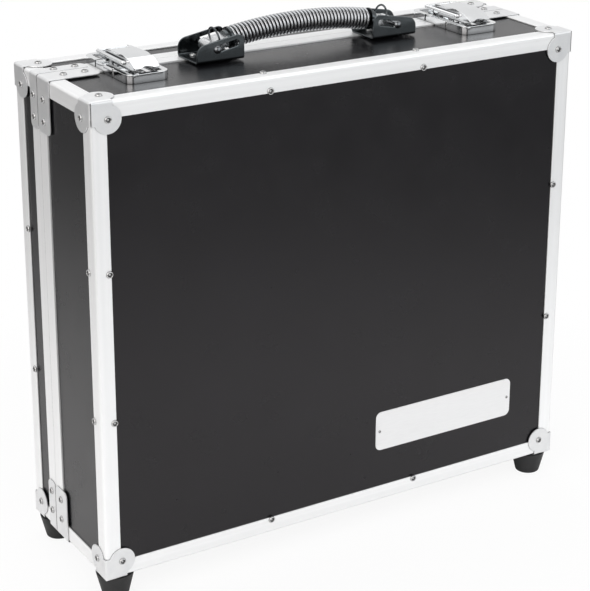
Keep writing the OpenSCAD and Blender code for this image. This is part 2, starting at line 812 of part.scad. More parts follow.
// The lid's strike, with the hook that the bail's cross wire draws on
module latch_strike() {
    hook_y = catch_y - bail_r - 3;
    color([0.72, 0.73, 0.75]) translate([0, 0, latch_z]) {
        translate([0, y_part + tray_set, 0]) tray(strike_l);
        translate([-hook_w / 2, y_part + hook_y, 0]) rotate([90, 0, 90]) linear_extrude(hook_w)
            polygon([[0, tray_floor - tray_t / 2], [1.5, tray_floor - tray_t / 2], [1.5, hook_h - 1.6],
                [2.5, hook_h - 1], [2.2, hook_h], [0.4, hook_h], [0, hook_h - 0.5]]);
    }
}

// Side view of the lever's top, with Y as its first axis: lip, second bend, crease and rear end
lever_top = [[-lever_l, lip_h], [-bend_at, bend_h], [-crease_at, crease_h], [0, pivot_h + curl_r]];

// Inward normal of a line's segment i
function inward(pts, i) = let (u = unit(pts[i + 1] - pts[i])) [u.y, -u.x];

// The same line moved inwards by d
function inset_line(pts, d) = let (n = len(pts))
    [for (i = [0:n - 1]) let (a = inward(pts, max(i - 1, 0)), b = inward(pts, min(i, n - 2)), m = unit(a + b))
        pts[i] + m * d / (m * a)];

lever_under = inset_line(lever_top, lever_t);

module lever_sheet() {
    polygon(concat(lever_top, [for (i = [len(lever_under) - 1:-1:0]) lever_under[i]]));
}

// A cheek: from the lip along the top to the rolled rear end, and back along its lower edge
module lever_cheek() {
    polygon(concat(lever_top, [[0, pivot_h - curl_r], [-cheek_at, cheek_h], [-bend_at, cheek_h], lever_under[0]]));
    translate([0, pivot_h]) circle(curl_r);
}

module latch_lever() {
    half = lever_w / 2;
    curl_x = ear_x + ear_t + lug_gap;
    arch_w = lever_w - 4 * lever_t;
    arch_cut_r = (arch_w * arch_w / 4 + lip_arch * lip_arch) / (2 * lip_arch);
    color([0.8, 0.81, 0.83]) difference() {
        intersection() {
            translate([0, pivot_y, latch_z]) {
                translate([-half, 0, 0]) rotate([90, 0, 90]) linear_extrude(lever_w) lever_sheet();
                for (side = [0, 1]) mirror([side, 0, 0]) {
                    translate([half - lever_t, 0, 0]) rotate([90, 0, 90]) linear_extrude(lever_t) lever_cheek();
                    translate([curl_x, 0, pivot_h]) rotate([0, 90, 0]) cylinder(r = curl_r, h = half - curl_x);
                }
            }
            translate([0, 0, latch_z]) linear_extrude(crease_h + over)
                polygon(rounded_box([-half, pivot_y - lever_l - over / 2], [half, pivot_y + curl_r + over],
                    [lever_r, lever_r, 0, 0]));
        }
        // Room round the tray's lugs
        translate([-curl_x, pivot_y - lever_relief, latch_z])
            cube([2 * curl_x, lever_relief + 2 * curl_r, crease_h + over]);
        // Arch in the lip's end
        translate([0, pivot_y - lever_l - over, latch_z + lever_under[0].y + lip_arch - arch_cut_r])
            rotate([-90, 0, 0]) cylinder(r = arch_cut_r, h = lever_l - bend_at, $fn = 96);
        translate([-lever_w, pivot_y, latch_z + pivot_h]) rotate([0, 90, 0])
            cylinder(r = pivot_pin_r + fit_gap, h = 2 * lever_w);
        translate([-lever_w, bail_y, latch_z + bail_h]) rotate([0, 90, 0])
            cylinder(r = bail_r + fit_gap, h = 2 * lever_w);
    }
}

module lever_pin() {
    color([0.7, 0.71, 0.73]) translate([-lever_w / 2, pivot_y, latch_z + pivot_h]) rotate([0, 90, 0])
        cylinder(r = pivot_pin_r, h = lever_w);
}

// Wire bail: two legs, a cross wire behind the hook and two tips in the lever's cheeks
module latch_bail() {
    tip = 5;
    color([0.84, 0.85, 0.87]) translate([0, 0, latch_z + bail_h]) {
        for (side = [-1, 1]) {
            translate([side * bail_x, bail_y, 0]) rotate([-90, 0, 0]) cylinder(r = bail_r, h = cross_y - bail_y);
            translate([side * (bail_x - tip / 2), bail_y, 0]) rotate([0, 90, 0])
                cylinder(r = bail_r, h = tip, center = true);
            translate([side * bail_x, bail_y, 0]) sphere(bail_r);
            translate([side * bail_x, cross_y, 0]) sphere(bail_r);
        }
        translate([-bail_x, cross_y, 0]) rotate([0, 90, 0]) cylinder(r = bail_r, h = 2 * bail_x);
    }
}

module latch_tray_left() translate([-latch_x, 0, 0]) latch_tray();
module latch_tray_right() translate([latch_x, 0, 0]) latch_tray();
module lever_pin_left() translate([-latch_x, 0, 0]) lever_pin();
module lever_pin_right() translate([latch_x, 0, 0]) lever_pin();
module latch_strike_left() translate([-latch_x, 0, 0]) latch_strike();
module latch_strike_right() translate([latch_x, 0, 0]) latch_strike();
module latch_lever_left() translate([-latch_x, 0, 0]) latch_lever();
module latch_lever_right() translate([latch_x, 0, 0]) latch_lever();
module latch_bail_left() translate([-latch_x, 0, 0]) latch_bail();
module latch_bail_right() translate([latch_x, 0, 0]) latch_bail();

// ---- Handle ----
// The left end is drawn, in a frame with its origin over the parting plane's top:
// X across the case, Y from the handle's middle line, Z over the top edging.

module at_handle() translate([0, handle_y, z_top]) children();

// Slot in a bracket's ears, from the pin's rest place up towards the middle
module slot_cut() {
    translate([-pin_x, 0, pin_h]) rotate([0, -slot_angle, 0]) {
        for (x = [0, slot_travel]) translate([x, 0, 0]) rotate([90, 0, 0])
            cylinder(r = slot_r, h = 2 * bracket_w, center = true);
        translate([0, -bracket_w, -slot_r]) cube([slot_travel, 2 * bracket_w, 2 * slot_r]);
    }
}

// U-shaped bracket: a channel bent from one sheet, cut to the outline of its ears
module handle_bracket() {
    x0 = -pin_x - bracket_out;
    x1 = -pin_x + bracket_in;
    inner_r = bracket_bend_r - bracket_t;
    color([0.23, 0.24, 0.25]) at_handle() difference() {
        intersection() {
            translate([x0, 0, 0]) rotate([90, 0, 90]) linear_extrude(x1 - x0) difference() {
                polygon(rounded_box([-bracket_w / 2, 0], [bracket_w / 2, ear_in_h + over],
                    [bracket_bend_r, bracket_bend_r, 0, 0]));
                polygon(rounded_box([-bracket_w / 2 + bracket_t, bracket_t],
                    [bracket_w / 2 - bracket_t, ear_in_h + 2 * over], [inner_r, inner_r, 0, 0]));
            }
            rotate([90, 0, 0]) linear_extrude(2 * bracket_w, center = true)
                polygon(rounded([[x0, 0], [x1, 0], [x1, ear_in_h], [x0, ear_out_h]], [0, 0, ear_in_r, ear_out_r]));
        }
        slot_cut();
    }
}

// Cross pin with a domed head outside each ear
module handle_pin() {
    reach = bracket_w / 2 + pin_head_gap;
    dome_r = (pin_head_r * pin_head_r + pin_head_h * pin_head_h) / (2 * pin_head_h);
    color([0.78, 0.79, 0.8]) at_handle() translate([-pin_x, 0, pin_h]) {
        rotate([90, 0, 0]) cylinder(r = pin_r, h = 2 * reach, center = true);
        for (side = [0, 1]) mirror([0, side, 0]) translate([0, -reach, 0]) rotate([90, 0, 0])
            rotate_extrude() intersection() {
                translate([0, pin_head_h - dome_r]) circle(dome_r, $fn = 96);
                square([pin_head_r, pin_head_h]);
            }
    }
}

// Where the wound part ends, and the slope of the arch there
end_x = arch_r * sin(coil_half_angle + ferrule_angle);
end_z = arch_z + arch_r * cos(coil_half_angle + ferrule_angle);
lug_run = norm([pin_x - end_x, end_z - pin_h]);
lug_slope = atan2(end_z - pin_h, pin_x - end_x);

// Lug from the pin to the ferrule
module handle_lug(bore_r) {
    color([0.8, 0.81, 0.82]) at_handle() translate([-pin_x, 0, pin_h]) rotate([0, -lug_slope, 0]) difference() {
        union() {
            rotate([90, 0, 0]) cylinder(r = lug_r, h = lug_w, center = true);
            translate([0, -lug_w / 2, -lug_t / 2]) cube([lug_run + over, lug_w, lug_t]);
        }
        rotate([90, 0, 0]) cylinder(r = bore_r, h = 2 * lug_w, center = true);
        rotate([0, lug_slope, 0]) translate([pin_x, 0, arch_z - pin_h]) past_ferrule();
        for (side = [-1, 1]) translate([clip_at, side * lug_w / 2, 0]) rotate([90, 0, 0])
            cylinder(d = clip_d, h = 2 * clip_tip, center = true, $fn = 16);
    }
}

// All that lies beyond the ferrule's outer face, towards the middle
module past_ferrule() {
    rotate([0, -coil_half_angle, 0]) translate([-ferrule_l, -lug_w, arch_r - 2 * lug_w])
        cube([4 * lug_w, 2 * lug_w, 4 * lug_w]);
}

// Round ferrule: a flange that closes the end of the coil, and a neck towards the lug
module handle_ferrule() {
    color([0.2, 0.21, 0.22]) at_handle() translate([0, 0, arch_z]) rotate([0, -coil_half_angle, 0])
        translate([0, 0, arch_r]) rotate([0, -90, 0]) {
            cylinder(r = coil_outer_r, h = ferrule_t);
            cylinder(r = neck_r, h = ferrule_l);
        }
}

// Wire clip over the lug, its two tips in the lug's sides
module handle_clip() {
    r = clip_d / 2;
    half = lug_w / 2 + r + 0.2;
    color([0.2, 0.2, 0.21]) at_handle() translate([-pin_x, 0, pin_h]) rotate([0, -lug_slope, 0])
        translate([clip_at, 0, 0]) {
            translate([0, 0, clip_rise]) rotate([90, 0, 90]) rotate_extrude(angle = 180)
                translate([half, 0]) circle(r, $fn = 16);
            for (side = [-1, 1]) {
                translate([0, side * half, 0]) cylinder(r = r, h = clip_rise, $fn = 16);
                translate([0, side * half, 0]) sphere(r, $fn = 16);
                translate([0, side * (lug_w / 2 - clip_tip), 0]) rotate([-90 * side, 0, 0])
                    cylinder(r = r, h = half - lug_w / 2 + clip_tip, $fn = 16);
            }
        }
}

// Half of the grip's rubber core, up to the middle of the case
module handle_core() {
    color([0.14, 0.14, 0.15]) at_handle() difference() {
        translate([0, 0, arch_z]) rotate([90, 0, 0]) rotate([0, 0, 90])
            rotate_extrude(angle = coil_half_angle, $fn = 360) translate([arch_r, 0]) circle(core_r, $fn = 32);
        translate([-mid_gap / 2, -2 * core_r, 0]) cube([core_r, 4 * core_r, 2 * grip_h]);
        translate([0, 0, grip_h]) rotate([0, notch_angle, 0]) translate([-mid_gap / 2, -2 * core_r, -4 * core_r])
            cube([core_r, 4 * core_r, 4 * core_r]);
    }
}

// -- Coil: one wire wound round the arched core --

coil_rings = 8;                          // rings in one turn
coil_sides = 6;
coil_tail = coil_wire;                   // straight run at each end
tail_bend = coil_wire;                   // radius of the bend before it
coil_run = 2 * PI * arch_r * coil_half_angle / 180;
wound_l = coil_run - 2 * (coil_tail + tail_bend);

// A point of the wire from its angle round the grip and its place along the arch
function wire_point(turn, along) =
    let (a = along / arch_r * 180 / PI, r = arch_r + coil_r * cos(turn))
    [r * sin(a), coil_r * sin(turn), arch_z + r * cos(a)];

// The outward direction at the same place
function wire_out(turn, along) =
    let (a = along / arch_r * 180 / PI)
    [cos(turn) * sin(a), sin(turn), cos(turn) * cos(a)];

// The end's bend out of the winding into a straight run, as [turn, along] pairs
bend_turn = tail_bend / coil_r * 180 / PI;
end_turn = coil_turns * 360;
tail_end = [for (b = [30, 60, 90]) [end_turn + bend_turn * sin(b), wound_l / 2 + tail_bend * (1 - cos(b))]];
tail_tip = [end_turn + bend_turn, coil_run / 2];
steps = coil_turns * coil_rings;
winding = [for (i = [0:steps]) [360 * i / coil_rings, -wound_l / 2 + wound_l * i / steps]];
half_tail = concat(tail_end, [tail_tip]);
start_tail = [for (i = [len(half_tail) - 1:-1:0]) [end_turn - half_tail[i][0], -half_tail[i][1]]];
wire_path = concat(start_tail, winding, half_tail);
wire_line = [for (p = wire_path) wire_point(p[0], p[1])];
wire_n = len(wire_line);

function wire_ring(i) =
    let (ahead = wire_line[min(i + 1, wire_n - 1)], behind = wire_line[max(i - 1, 0)],
         t = i == 0 || i == wire_n - 1 ? arch_tangent(wire_path[i][1]) : unit(ahead - behind),
         n = wire_out(wire_path[i][0], wire_path[i][1]),
         b = unit(cross(t, n)), m = cross(b, t))
    [for (k = [0:coil_sides - 1]) wire_line[i]
        + coil_wire / 2 * (cos(360 * k / coil_sides) * m + sin(360 * k / coil_sides) * b)];

// Direction of the arch at a place along it
function arch_tangent(along) = let (a = along / arch_r * 180 / PI) [cos(a), 0, -sin(a)];

module handle_coil() {
    points = [for (i = [0:wire_n - 1]) each wire_ring(i)];
    side = function (i, k) i * coil_sides + k % coil_sides;
    walls = [for (i = [0:wire_n - 2], k = [0:coil_sides - 1]) each [
        [side(i, k), side(i + 1, k), side(i + 1, k + 1)],
        [side(i, k), side(i + 1, k + 1), side(i, k + 1)]]];
    last = (wire_n - 1) * coil_sides;
    start_cap = [for (k = [1:coil_sides - 2]) [0, k, k + 1]];
    end_cap = [for (k = [1:coil_sides - 2]) [last, last + k + 1, last + k]];
    color([0.7, 0.71, 0.73]) at_handle() polyhedron(points, concat(walls, start_cap, end_cap));
}

// Least gap of the coil to itself, between rings at least half a turn apart
self_gap = min([for (i = [0:wire_n - 1], j = [i + coil_rings / 2:1:min(i + 2 * coil_rings, wire_n - 1)])
    norm(wire_line[i] - wire_line[j])]) - coil_wire;
echo("least gap of the coil to itself, mm", self_gap);

module handle_bracket_left() handle_bracket();
module handle_bracket_right() flip_x() handle_bracket();
module handle_pin_left() handle_pin();
module handle_pin_right() flip_x() handle_pin();
module handle_lug_left() handle_lug(pin_r + fit_gap);
module handle_lug_right() flip_x() handle_lug(pin_r);
module handle_clip_left() handle_clip();
module handle_clip_right() flip_x() handle_clip();
module handle_ferrule_left() handle_ferrule();
module handle_ferrule_right() flip_x() handle_ferrule();
module handle_core_left() handle_core();
module handle_core_right() flip_x() handle_core();

// ---- Nodes ----

base_front_panel();
base_top_panel();
base_bottom_panel();
base_left_panel();
base_right_panel();
front_edge_rails();
front_edge_posts();
base_corner_edging();
base_closing_profiles();
front_corner_plates();
base_braces();
base_rivets();
front_feet();
front_foot_screws();
base_hinge_leaves();
hinge_pins();
name_plate();
base_lining();
handle_bracket_left();
handle_bracket_right();
latch_tray_left();
latch_tray_right();
lever_pin_left();
lever_pin_right();
lid_back_panel();
lid_top_panel();
lid_bottom_panel();
lid_left_panel();
lid_right_panel();
back_edge_rails();
back_edge_posts();
lid_corner_edging();
lid_closing_profiles();
back_corner_plates();
lid_braces();
lid_rivets();
rear_feet();
rear_foot_screws();
lid_hinge_leaves();
lid_lining();
latch_strike_left();
latch_strike_right();
latch_lever_left();
latch_lever_right();
latch_bail_left();
latch_bail_right();
handle_pin_left();
handle_lug_left();
handle_clip_left();
handle_ferrule_left();
handle_core_left();
handle_coil();
handle_pin_right();
handle_lug_right();
handle_clip_right();
handle_ferrule_right();
handle_core_right();
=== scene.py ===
# %% [markdown]
# # Guitar pedal case
# This script dresses an upright guitar pedal case: black laminated panels in
# aluminium edging, steel corners, two toggle latches, a sprung carrying
# handle and rubber feet. The solid model comes in as a fixed frame. What is
# already right keeps its mesh and gets a finish. What is soft or bends, and
# the rivets, are made again with more detail.

import math

import bmesh
import bpy
from mathutils import Matrix, Vector


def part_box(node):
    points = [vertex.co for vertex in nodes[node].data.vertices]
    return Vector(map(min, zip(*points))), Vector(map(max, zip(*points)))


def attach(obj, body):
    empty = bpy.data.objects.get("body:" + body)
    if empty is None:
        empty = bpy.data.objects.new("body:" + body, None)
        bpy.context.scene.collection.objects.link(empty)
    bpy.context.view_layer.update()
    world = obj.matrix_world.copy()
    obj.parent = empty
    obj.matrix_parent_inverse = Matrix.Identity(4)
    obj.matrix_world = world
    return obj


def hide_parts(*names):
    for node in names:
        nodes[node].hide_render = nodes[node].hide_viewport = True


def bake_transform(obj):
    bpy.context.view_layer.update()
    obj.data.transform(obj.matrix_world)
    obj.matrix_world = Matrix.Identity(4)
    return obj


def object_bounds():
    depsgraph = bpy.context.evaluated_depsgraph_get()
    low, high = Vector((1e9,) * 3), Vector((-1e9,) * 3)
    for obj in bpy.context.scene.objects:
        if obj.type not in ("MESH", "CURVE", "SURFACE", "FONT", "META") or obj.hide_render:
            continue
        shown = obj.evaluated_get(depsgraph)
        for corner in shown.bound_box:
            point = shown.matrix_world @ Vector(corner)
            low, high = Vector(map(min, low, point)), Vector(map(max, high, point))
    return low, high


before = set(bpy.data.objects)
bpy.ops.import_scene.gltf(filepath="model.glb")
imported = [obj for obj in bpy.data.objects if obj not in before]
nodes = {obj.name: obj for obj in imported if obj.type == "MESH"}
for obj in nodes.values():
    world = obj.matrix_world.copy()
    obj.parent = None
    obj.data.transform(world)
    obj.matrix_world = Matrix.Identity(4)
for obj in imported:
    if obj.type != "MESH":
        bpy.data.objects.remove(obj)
cad_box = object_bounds()
print("nodes:", len(nodes), "box:", [tuple(round(v, 4) for v in corner) for corner in cad_box])

# %% [markdown]
# ## Camera
# The picture was taken from the front left and from above, close enough for
# the case to taper. A camera can be set by eye, but a fit on the case's
# corners, feet and rivets gives its place, its turn and its lens together,
# and to about a pixel. The horizon lies well above the middle of the picture,
# so the lens is shifted, as in architectural photographs.

# %% Place the camera
CAMERA_PLACE = (-0.8366, -1.37583, 0.86356)
CAMERA_TURN = 31.745           # degrees to the right of straight ahead
CAMERA_DIP = 19.023            # degrees below the horizon
CAMERA_ROLL = 0.342            # degrees
SENSOR = 36                    # width in millimetres
LENS = 110.346                 # millimetres
LENS_SHIFT = (-0.0356, -0.15)  # shares of the picture's width


def make_camera():
    data = bpy.data.cameras.new("camera")
    data.sensor_fit = "HORIZONTAL"
    data.sensor_width = SENSOR
    data.lens = LENS
    data.shift_x, data.shift_y = LENS_SHIFT
    camera = bpy.data.objects.new("camera", data)
    bpy.context.scene.collection.objects.link(camera)
    turn = Matrix.Rotation(math.radians(-CAMERA_TURN), 4, "Z")
    dip = Matrix.Rotation(math.radians(90 - CAMERA_DIP), 4, "X")
    roll = Matrix.Rotation(math.radians(CAMERA_ROLL), 4, "Z")
    camera.matrix_world = Matrix.Translation(CAMERA_PLACE) @ turn @ dip @ roll
    bpy.context.scene.camera = camera
    return camera


camera = make_camera()
print("camera at", tuple(round(v, 3) for v in camera.location))

# %% [markdown]
# ## Studio
# The case stands on white, lit by large soft lamps. The world is white where
# the camera or a pane looks at it, and dimmer where it lights the scene, so
# that the background stays white while the black panels stay black. Bright
# metal needs something dark to mirror, or it looks like paper. In a studio
# that is the dim room in front of the case, so what metal mirrors here is
# white towards the backdrop and dim on the other side. A panorama of a studio
# would do the same, but a few nodes do it without a picture.

# %% Set the view and the world
scene = bpy.context.scene
scene.view_settings.view_transform = "Standard"
WHITE = 1.0                        # a strength that the camera sees as plain white
SKY_LIGHT = 0.62                   # strength of the world where it lights the scene
BACKDROP_WAY = (0.52, 0.85, 0.1)   # towards the white backdrop
ROOM_EDGE = (-0.5, 0.25)           # where, seen that way, the dim room turns into the backdrop
ROOM_LIGHT = 0.22                  # strength of the dim room in a mirror


def make_world():
    world = bpy.data.worlds.new("studio")
    scene.world = world
    world.use_nodes = True
    tree = world.node_tree
    tree.nodes.clear()
    path = tree.nodes.new("ShaderNodeLightPath")
    way = tree.nodes.new("ShaderNodeTexCoord")
    facing = tree.nodes.new("ShaderNodeVectorMath")
    facing.operation = "DOT_PRODUCT"
    facing.inputs[1].default_value = BACKDROP_WAY
    room = tree.nodes.new("ShaderNodeMapRange")
    room.interpolation_type = "SMOOTHSTEP"
    room.inputs["From Min"].default_value, room.inputs["From Max"].default_value = ROOM_EDGE
    room.inputs["To Min"].default_value = ROOM_LIGHT
    mirrored = tree.nodes.new("ShaderNodeMix")
    mirrored.inputs["A"].default_value = SKY_LIGHT
    seen = tree.nodes.new("ShaderNodeMix")
    seen.inputs["B"].default_value = WHITE
    straight = tree.nodes.new("ShaderNodeMath")
    straight.operation = "MAXIMUM"
    back = tree.nodes.new("ShaderNodeBackground")
    out = tree.nodes.new("ShaderNodeOutputWorld")
    tree.links.new(way.outputs["Generated"], facing.inputs[0])
    tree.links.new(facing.outputs["Value"], room.inputs["Value"])
    tree.links.new(path.outputs["Is Glossy Ray"], mirrored.inputs["Factor"])
    tree.links.new(room.outputs["Result"], mirrored.inputs["B"])
    tree.links.new(path.outputs["Is Camera Ray"], straight.inputs[0])
    tree.links.new(path.outputs["Is Transmission Ray"], straight.inputs[1])
    tree.links.new(straight.outputs[0], seen.inputs["Factor"])
    tree.links.new(mirrored.outputs["Result"], seen.inputs["A"])
    tree.links.new(seen.outputs["Result"], back.inputs["Strength"])
    tree.links.new(back.outputs[0], out.inputs["Surface"])


make_world()
print("world light", SKY_LIGHT, "dim side", ROOM_LIGHT)

# %% [markdown]
# ## Lamps
# Three discs of light hang round the case: the key lamp in front on the left,
# a weaker fill lamp in front on the right, and a top lamp above and a little
# behind. Each is many times as wide as the case. Small lamps or a sun would
# draw hard shadows and burn small spots into the metal, and wide ones give the
# nearly even light of a product photograph.

# %% Hang the soft lamps
WARM = (1.0, 0.97, 0.95)
COOL = (0.95, 0.98, 1.0)
PLAIN = (1.0, 1.0, 1.0)
LAMP_AIM = (0, 0, 0.25)   # the middle of the case


def soft_lamp(name, place, size, watts, colour):
    data = bpy.data.lights.new(name, "AREA")
    data.shape = "DISK"
    data.size = size
    data.energy = watts
    data.color = colour
    lamp = bpy.data.objects.new(name, data)
    scene.collection.objects.link(lamp)
    aim = Vector(LAMP_AIM) - Vector(place)
    lamp.matrix_world = Matrix.Translation(place) @ aim.to_track_quat("-Z", "Y").to_matrix().to_4x4()
    return lamp


soft_lamp("key_lamp", place=(-2.5, -1.6, 1.8), size=4.0, watts=74, colour=WARM)
soft_lamp("fill_lamp", place=(1.2, -2.6, 1.2), size=3.6, watts=40, colour=COOL)
soft_lamp("top_lamp", place=(0.2, 0.9, 2.6), size=3.0, watts=18, colour=PLAIN)
print("lamps:", len(bpy.data.lights))

# %% [markdown]
# ## Floor
# The floor is one large square. If it were lit up to be white, it would throw too much light on the panels.
# So its colour gets darker with the distance from the case: a pool of lamp light is painted into it near
# the case, and further out it only lights the scene. The camera sees a share of plain white laid over it.
# That share is a little smaller near the case, where the floor has to show the soft shadow.

# %% Lay the floor
FLOOR_SIZE = 40
FLOOR_ROUGH = 0.9
FLOOR_NEAR = 0.98         # how pale the floor is painted under the case, where the painted pool of lamp light is
FLOOR_FAR = 0.20          # and where the painted light of the lamps has fallen off
FLOOR_FADE = (0.25, 1.5)  # distances between which the painted light falls off, in metres
FLOOR_GLOW = (0.9, 1.0)   # share of plain white that the camera sees, near and far
FLOOR_VEIL = (0.25, 0.6)  # distances between which that share grows


def make_floor():
    bm = bmesh.new()
    bmesh.ops.create_grid(bm, x_segments=1, y_segments=1, size=FLOOR_SIZE)
    mesh = bpy.data.meshes.new("floor")
    bm.to_mesh(mesh)
    bm.free()
    floor = bpy.data.objects.new("floor", mesh)
    scene.collection.objects.link(floor)
    material = bpy.data.materials.new("white_floor")
    material.use_nodes = True
    tree = material.node_tree
    shader = tree.nodes["Principled BSDF"]
    shader.inputs["Roughness"].default_value = FLOOR_ROUGH
    place = tree.nodes.new("ShaderNodeTexCoord")
    distance = tree.nodes.new("ShaderNodeVectorMath")
    distance.operation = "LENGTH"
    # The base colour is painted paler near the case, as a pool of lamp light.
    fade = tree.nodes.new("ShaderNodeMapRange")
    fade.interpolation_type = "SMOOTHSTEP"
    fade.inputs["From Min"].default_value, fade.inputs["From Max"].default_value = FLOOR_FADE
    fade.inputs["To Min"].default_value = FLOOR_NEAR
    fade.inputs["To Max"].default_value = FLOOR_FAR
    path = tree.nodes.new("ShaderNodeLightPath")
    glow = tree.nodes.new("ShaderNodeEmission")
    glow.inputs["Strength"].default_value = WHITE
    share = tree.nodes.new("ShaderNodeMath")
    share.operation = "MULTIPLY"
    veil = tree.nodes.new("ShaderNodeMapRange")
    veil.inputs["From Min"].default_value, veil.inputs["From Max"].default_value = FLOOR_VEIL
    veil.inputs["To Min"].default_value, veil.inputs["To Max"].default_value = FLOOR_GLOW
    mix = tree.nodes.new("ShaderNodeMixShader")
    tree.links.new(place.outputs["Object"], distance.inputs[0])
    tree.links.new(distance.outputs["Value"], fade.inputs["Value"])
    tree.links.new(fade.outputs["Result"], shader.inputs["Base Color"])
    tree.links.new(distance.outputs["Value"], veil.inputs["Value"])
    tree.links.new(veil.outputs["Result"], share.inputs[1])
    tree.links.new(path.outputs["Is Camera Ray"], share.inputs[0])
    tree.links.new(share.outputs[0], mix.inputs[0])
    tree.links.new(shader.outputs[0], mix.inputs[1])
    tree.links.new(glow.outputs[0], mix.inputs[2])
    tree.links.new(mix.outputs[0], tree.nodes["Material Output"].inputs["Surface"])
    mesh.materials.append(material)
    return floor


make_floor()
print("floor laid")

# %% [markdown]
# ## Finishes
# Every finish is made of a shader with its plain values on its own sockets,
# and a little procedural texture on object coordinates: grain along the
# aluminium, fine pebble on the laminate, brushing on the plates. Pictures
# could be wrapped round the pieces instead, but they need unwrapping, and
# noise keeps its true size on every piece. The values are in metres, so a
# scale of 1000 means a pattern of about a millimetre.

# %% Helpers for finishes
NOISE_RANGE = (0.3, 0.7)  # noise seldom leaves this range, so it is what gets spread out
AO_RANGE = (0.25, 0.8)    # how open a spot is where the painted shade of a joint is deepest, and where it ends
AO_SAMPLES = 6


def new_finish(name, colour, metal, rough, specular=0.5):
    material = bpy.data.materials.new(name)
    material.use_nodes = True
    shader = material.node_tree.nodes["Principled BSDF"]
    shader.inputs["Base Color"].default_value = (*colour, 1)
    shader.inputs["Metallic"].default_value = metal
    shader.inputs["Roughness"].default_value = rough
    shader.inputs["Specular IOR Level"].default_value = specular
    return material


def grain(material, scale, detail=3.0, stretch=(1, 1, 1)):
    """Noise on object coordinates. A small stretch along an axis draws the grain out that way."""
    tree = material.node_tree
    place = tree.nodes.new("ShaderNodeTexCoord")
    mapping = tree.nodes.new("ShaderNodeMapping")
    mapping.inputs["Scale"].default_value = stretch
    noise = tree.nodes.new("ShaderNodeTexNoise")
    noise.inputs["Scale"].default_value = scale
    noise.inputs["Detail"].default_value = detail
    tree.links.new(place.outputs["Object"], mapping.inputs["Vector"])
    tree.links.new(mapping.outputs["Vector"], noise.inputs["Vector"])
    return noise.outputs["Fac"]


def vary_colour(material, fac, dark, light):
    """Lets the colour wander between two tones, and returns the socket that it comes from."""
    tree = material.node_tree
    ramp = tree.nodes.new("ShaderNodeValToRGB")
    for stop, place, tone in zip(ramp.color_ramp.elements, NOISE_RANGE, (dark, light)):
        stop.position = place
        stop.color = (*tone, 1)
    tree.links.new(fac, ramp.inputs["Fac"])
    tree.links.new(ramp.outputs["Color"], tree.nodes["Principled BSDF"].inputs["Base Color"])
    return ramp.outputs["Color"]


def paint_crease_shade(material, colour, reach, depth):
    """Paints shade into a colour where another surface stands close, as in a joint between two pieces."""
    tree = material.node_tree
    near = tree.nodes.new("ShaderNodeAmbientOcclusion")
    near.samples = AO_SAMPLES
    near.inputs["Distance"].default_value = reach
    shade = tree.nodes.new("ShaderNodeMapRange")
    shade.inputs["From Min"].default_value, shade.inputs["From Max"].default_value = AO_RANGE
    shade.inputs["To Min"].default_value = 1 - depth
    mix = tree.nodes.new("ShaderNodeVectorMath")
    mix.operation = "SCALE"
    tree.links.new(near.outputs["AO"], shade.inputs["Value"])
    tree.links.new(colour, mix.inputs["Vector"])
    tree.links.new(shade.outputs["Result"], mix.inputs["Scale"])
    tree.links.new(mix.outputs["Vector"], tree.nodes["Principled BSDF"].inputs["Base Color"])


def vary_roughness(material, fac, low, high):
    tree = material.node_tree
    spread = tree.nodes.new("ShaderNodeMapRange")
    spread.inputs["From Min"].default_value, spread.inputs["From Max"].default_value = NOISE_RANGE
    spread.inputs["To Min"].default_value = low
    spread.inputs["To Max"].default_value = high
    tree.links.new(fac, spread.inputs["Value"])
    tree.links.new(spread.outputs["Result"], tree.nodes["Principled BSDF"].inputs["Roughness"])


def add_bump(material, fac, height, strength):
    tree = material.node_tree
    bump = tree.nodes.new("ShaderNodeBump")
    bump.inputs["Strength"].default_value = strength
    bump.inputs["Distance"].default_value = height
    tree.links.new(fac, bump.inputs["Height"])
    tree.links.new(bump.outputs["Normal"], tree.nodes["Principled BSDF"].inputs["Normal"])


print("finish helpers ready")

# %% [markdown]
# ## Black laminate
# The panels are plywood under a thin black plastic film with a satin,
# slightly pebbled face. It mirrors very little when it is seen straight on and
# more at a shallow angle, as the top does here. A coat over a black base would
# do that too, but the plain shader already mirrors more at a shallow angle.
# Three noises of different size are enough: wide clouds for the colour,
# middling ones for the gloss and fine ones for the pebble.

# %% Make the laminate
LAMINATE_TINT = (1.0, 0.955, 0.985, 1.0)   # what the film mirrors is a little pink


def make_laminate():
    material = new_finish("black_laminate", colour=(0.004, 0.004, 0.005), metal=0.0, rough=0.26,
                          specular=0.46)
    shader = material.node_tree.nodes["Principled BSDF"]
    shader.inputs["Specular Tint"].default_value = LAMINATE_TINT
    vary_colour(material, grain(material, scale=14, detail=2),
                dark=(0.0034, 0.0034, 0.0042), light=(0.0050, 0.0050, 0.0060))
    vary_roughness(material, grain(material, scale=35, detail=3), low=0.23, high=0.28)
    add_bump(material, grain(material, scale=1400, detail=2), height=0.00003, strength=0.3)
    return material


laminate = make_laminate()
print("made", laminate.name)

# %% [markdown]
# ## Aluminium edging
# The angle bars are drawn aluminium, anodised to a pale satin, so their fine lines run along each bar.
# Anisotropic gloss could stand for the lines, but noise drawn out along the bar also shows them in the
# colour. The same finish is made three times, once for each direction that bars run in. Where a bar meets a
# corner or a brace, a thin dark line of shade is painted into the colour, and an ambient occlusion node
# finds these places.

# %% Make the aluminium for the three directions
GRAIN_STRETCH = {"x": (0.01, 1, 1), "y": (1, 0.01, 1), "z": (1, 1, 0.01)}
CREASE_SHADE_REACH = 0.0022     # how far the painted shade reaches out of a joint between pieces
CREASE_SHADE_DEPTH = 0.75       # how dark the painted shade makes it
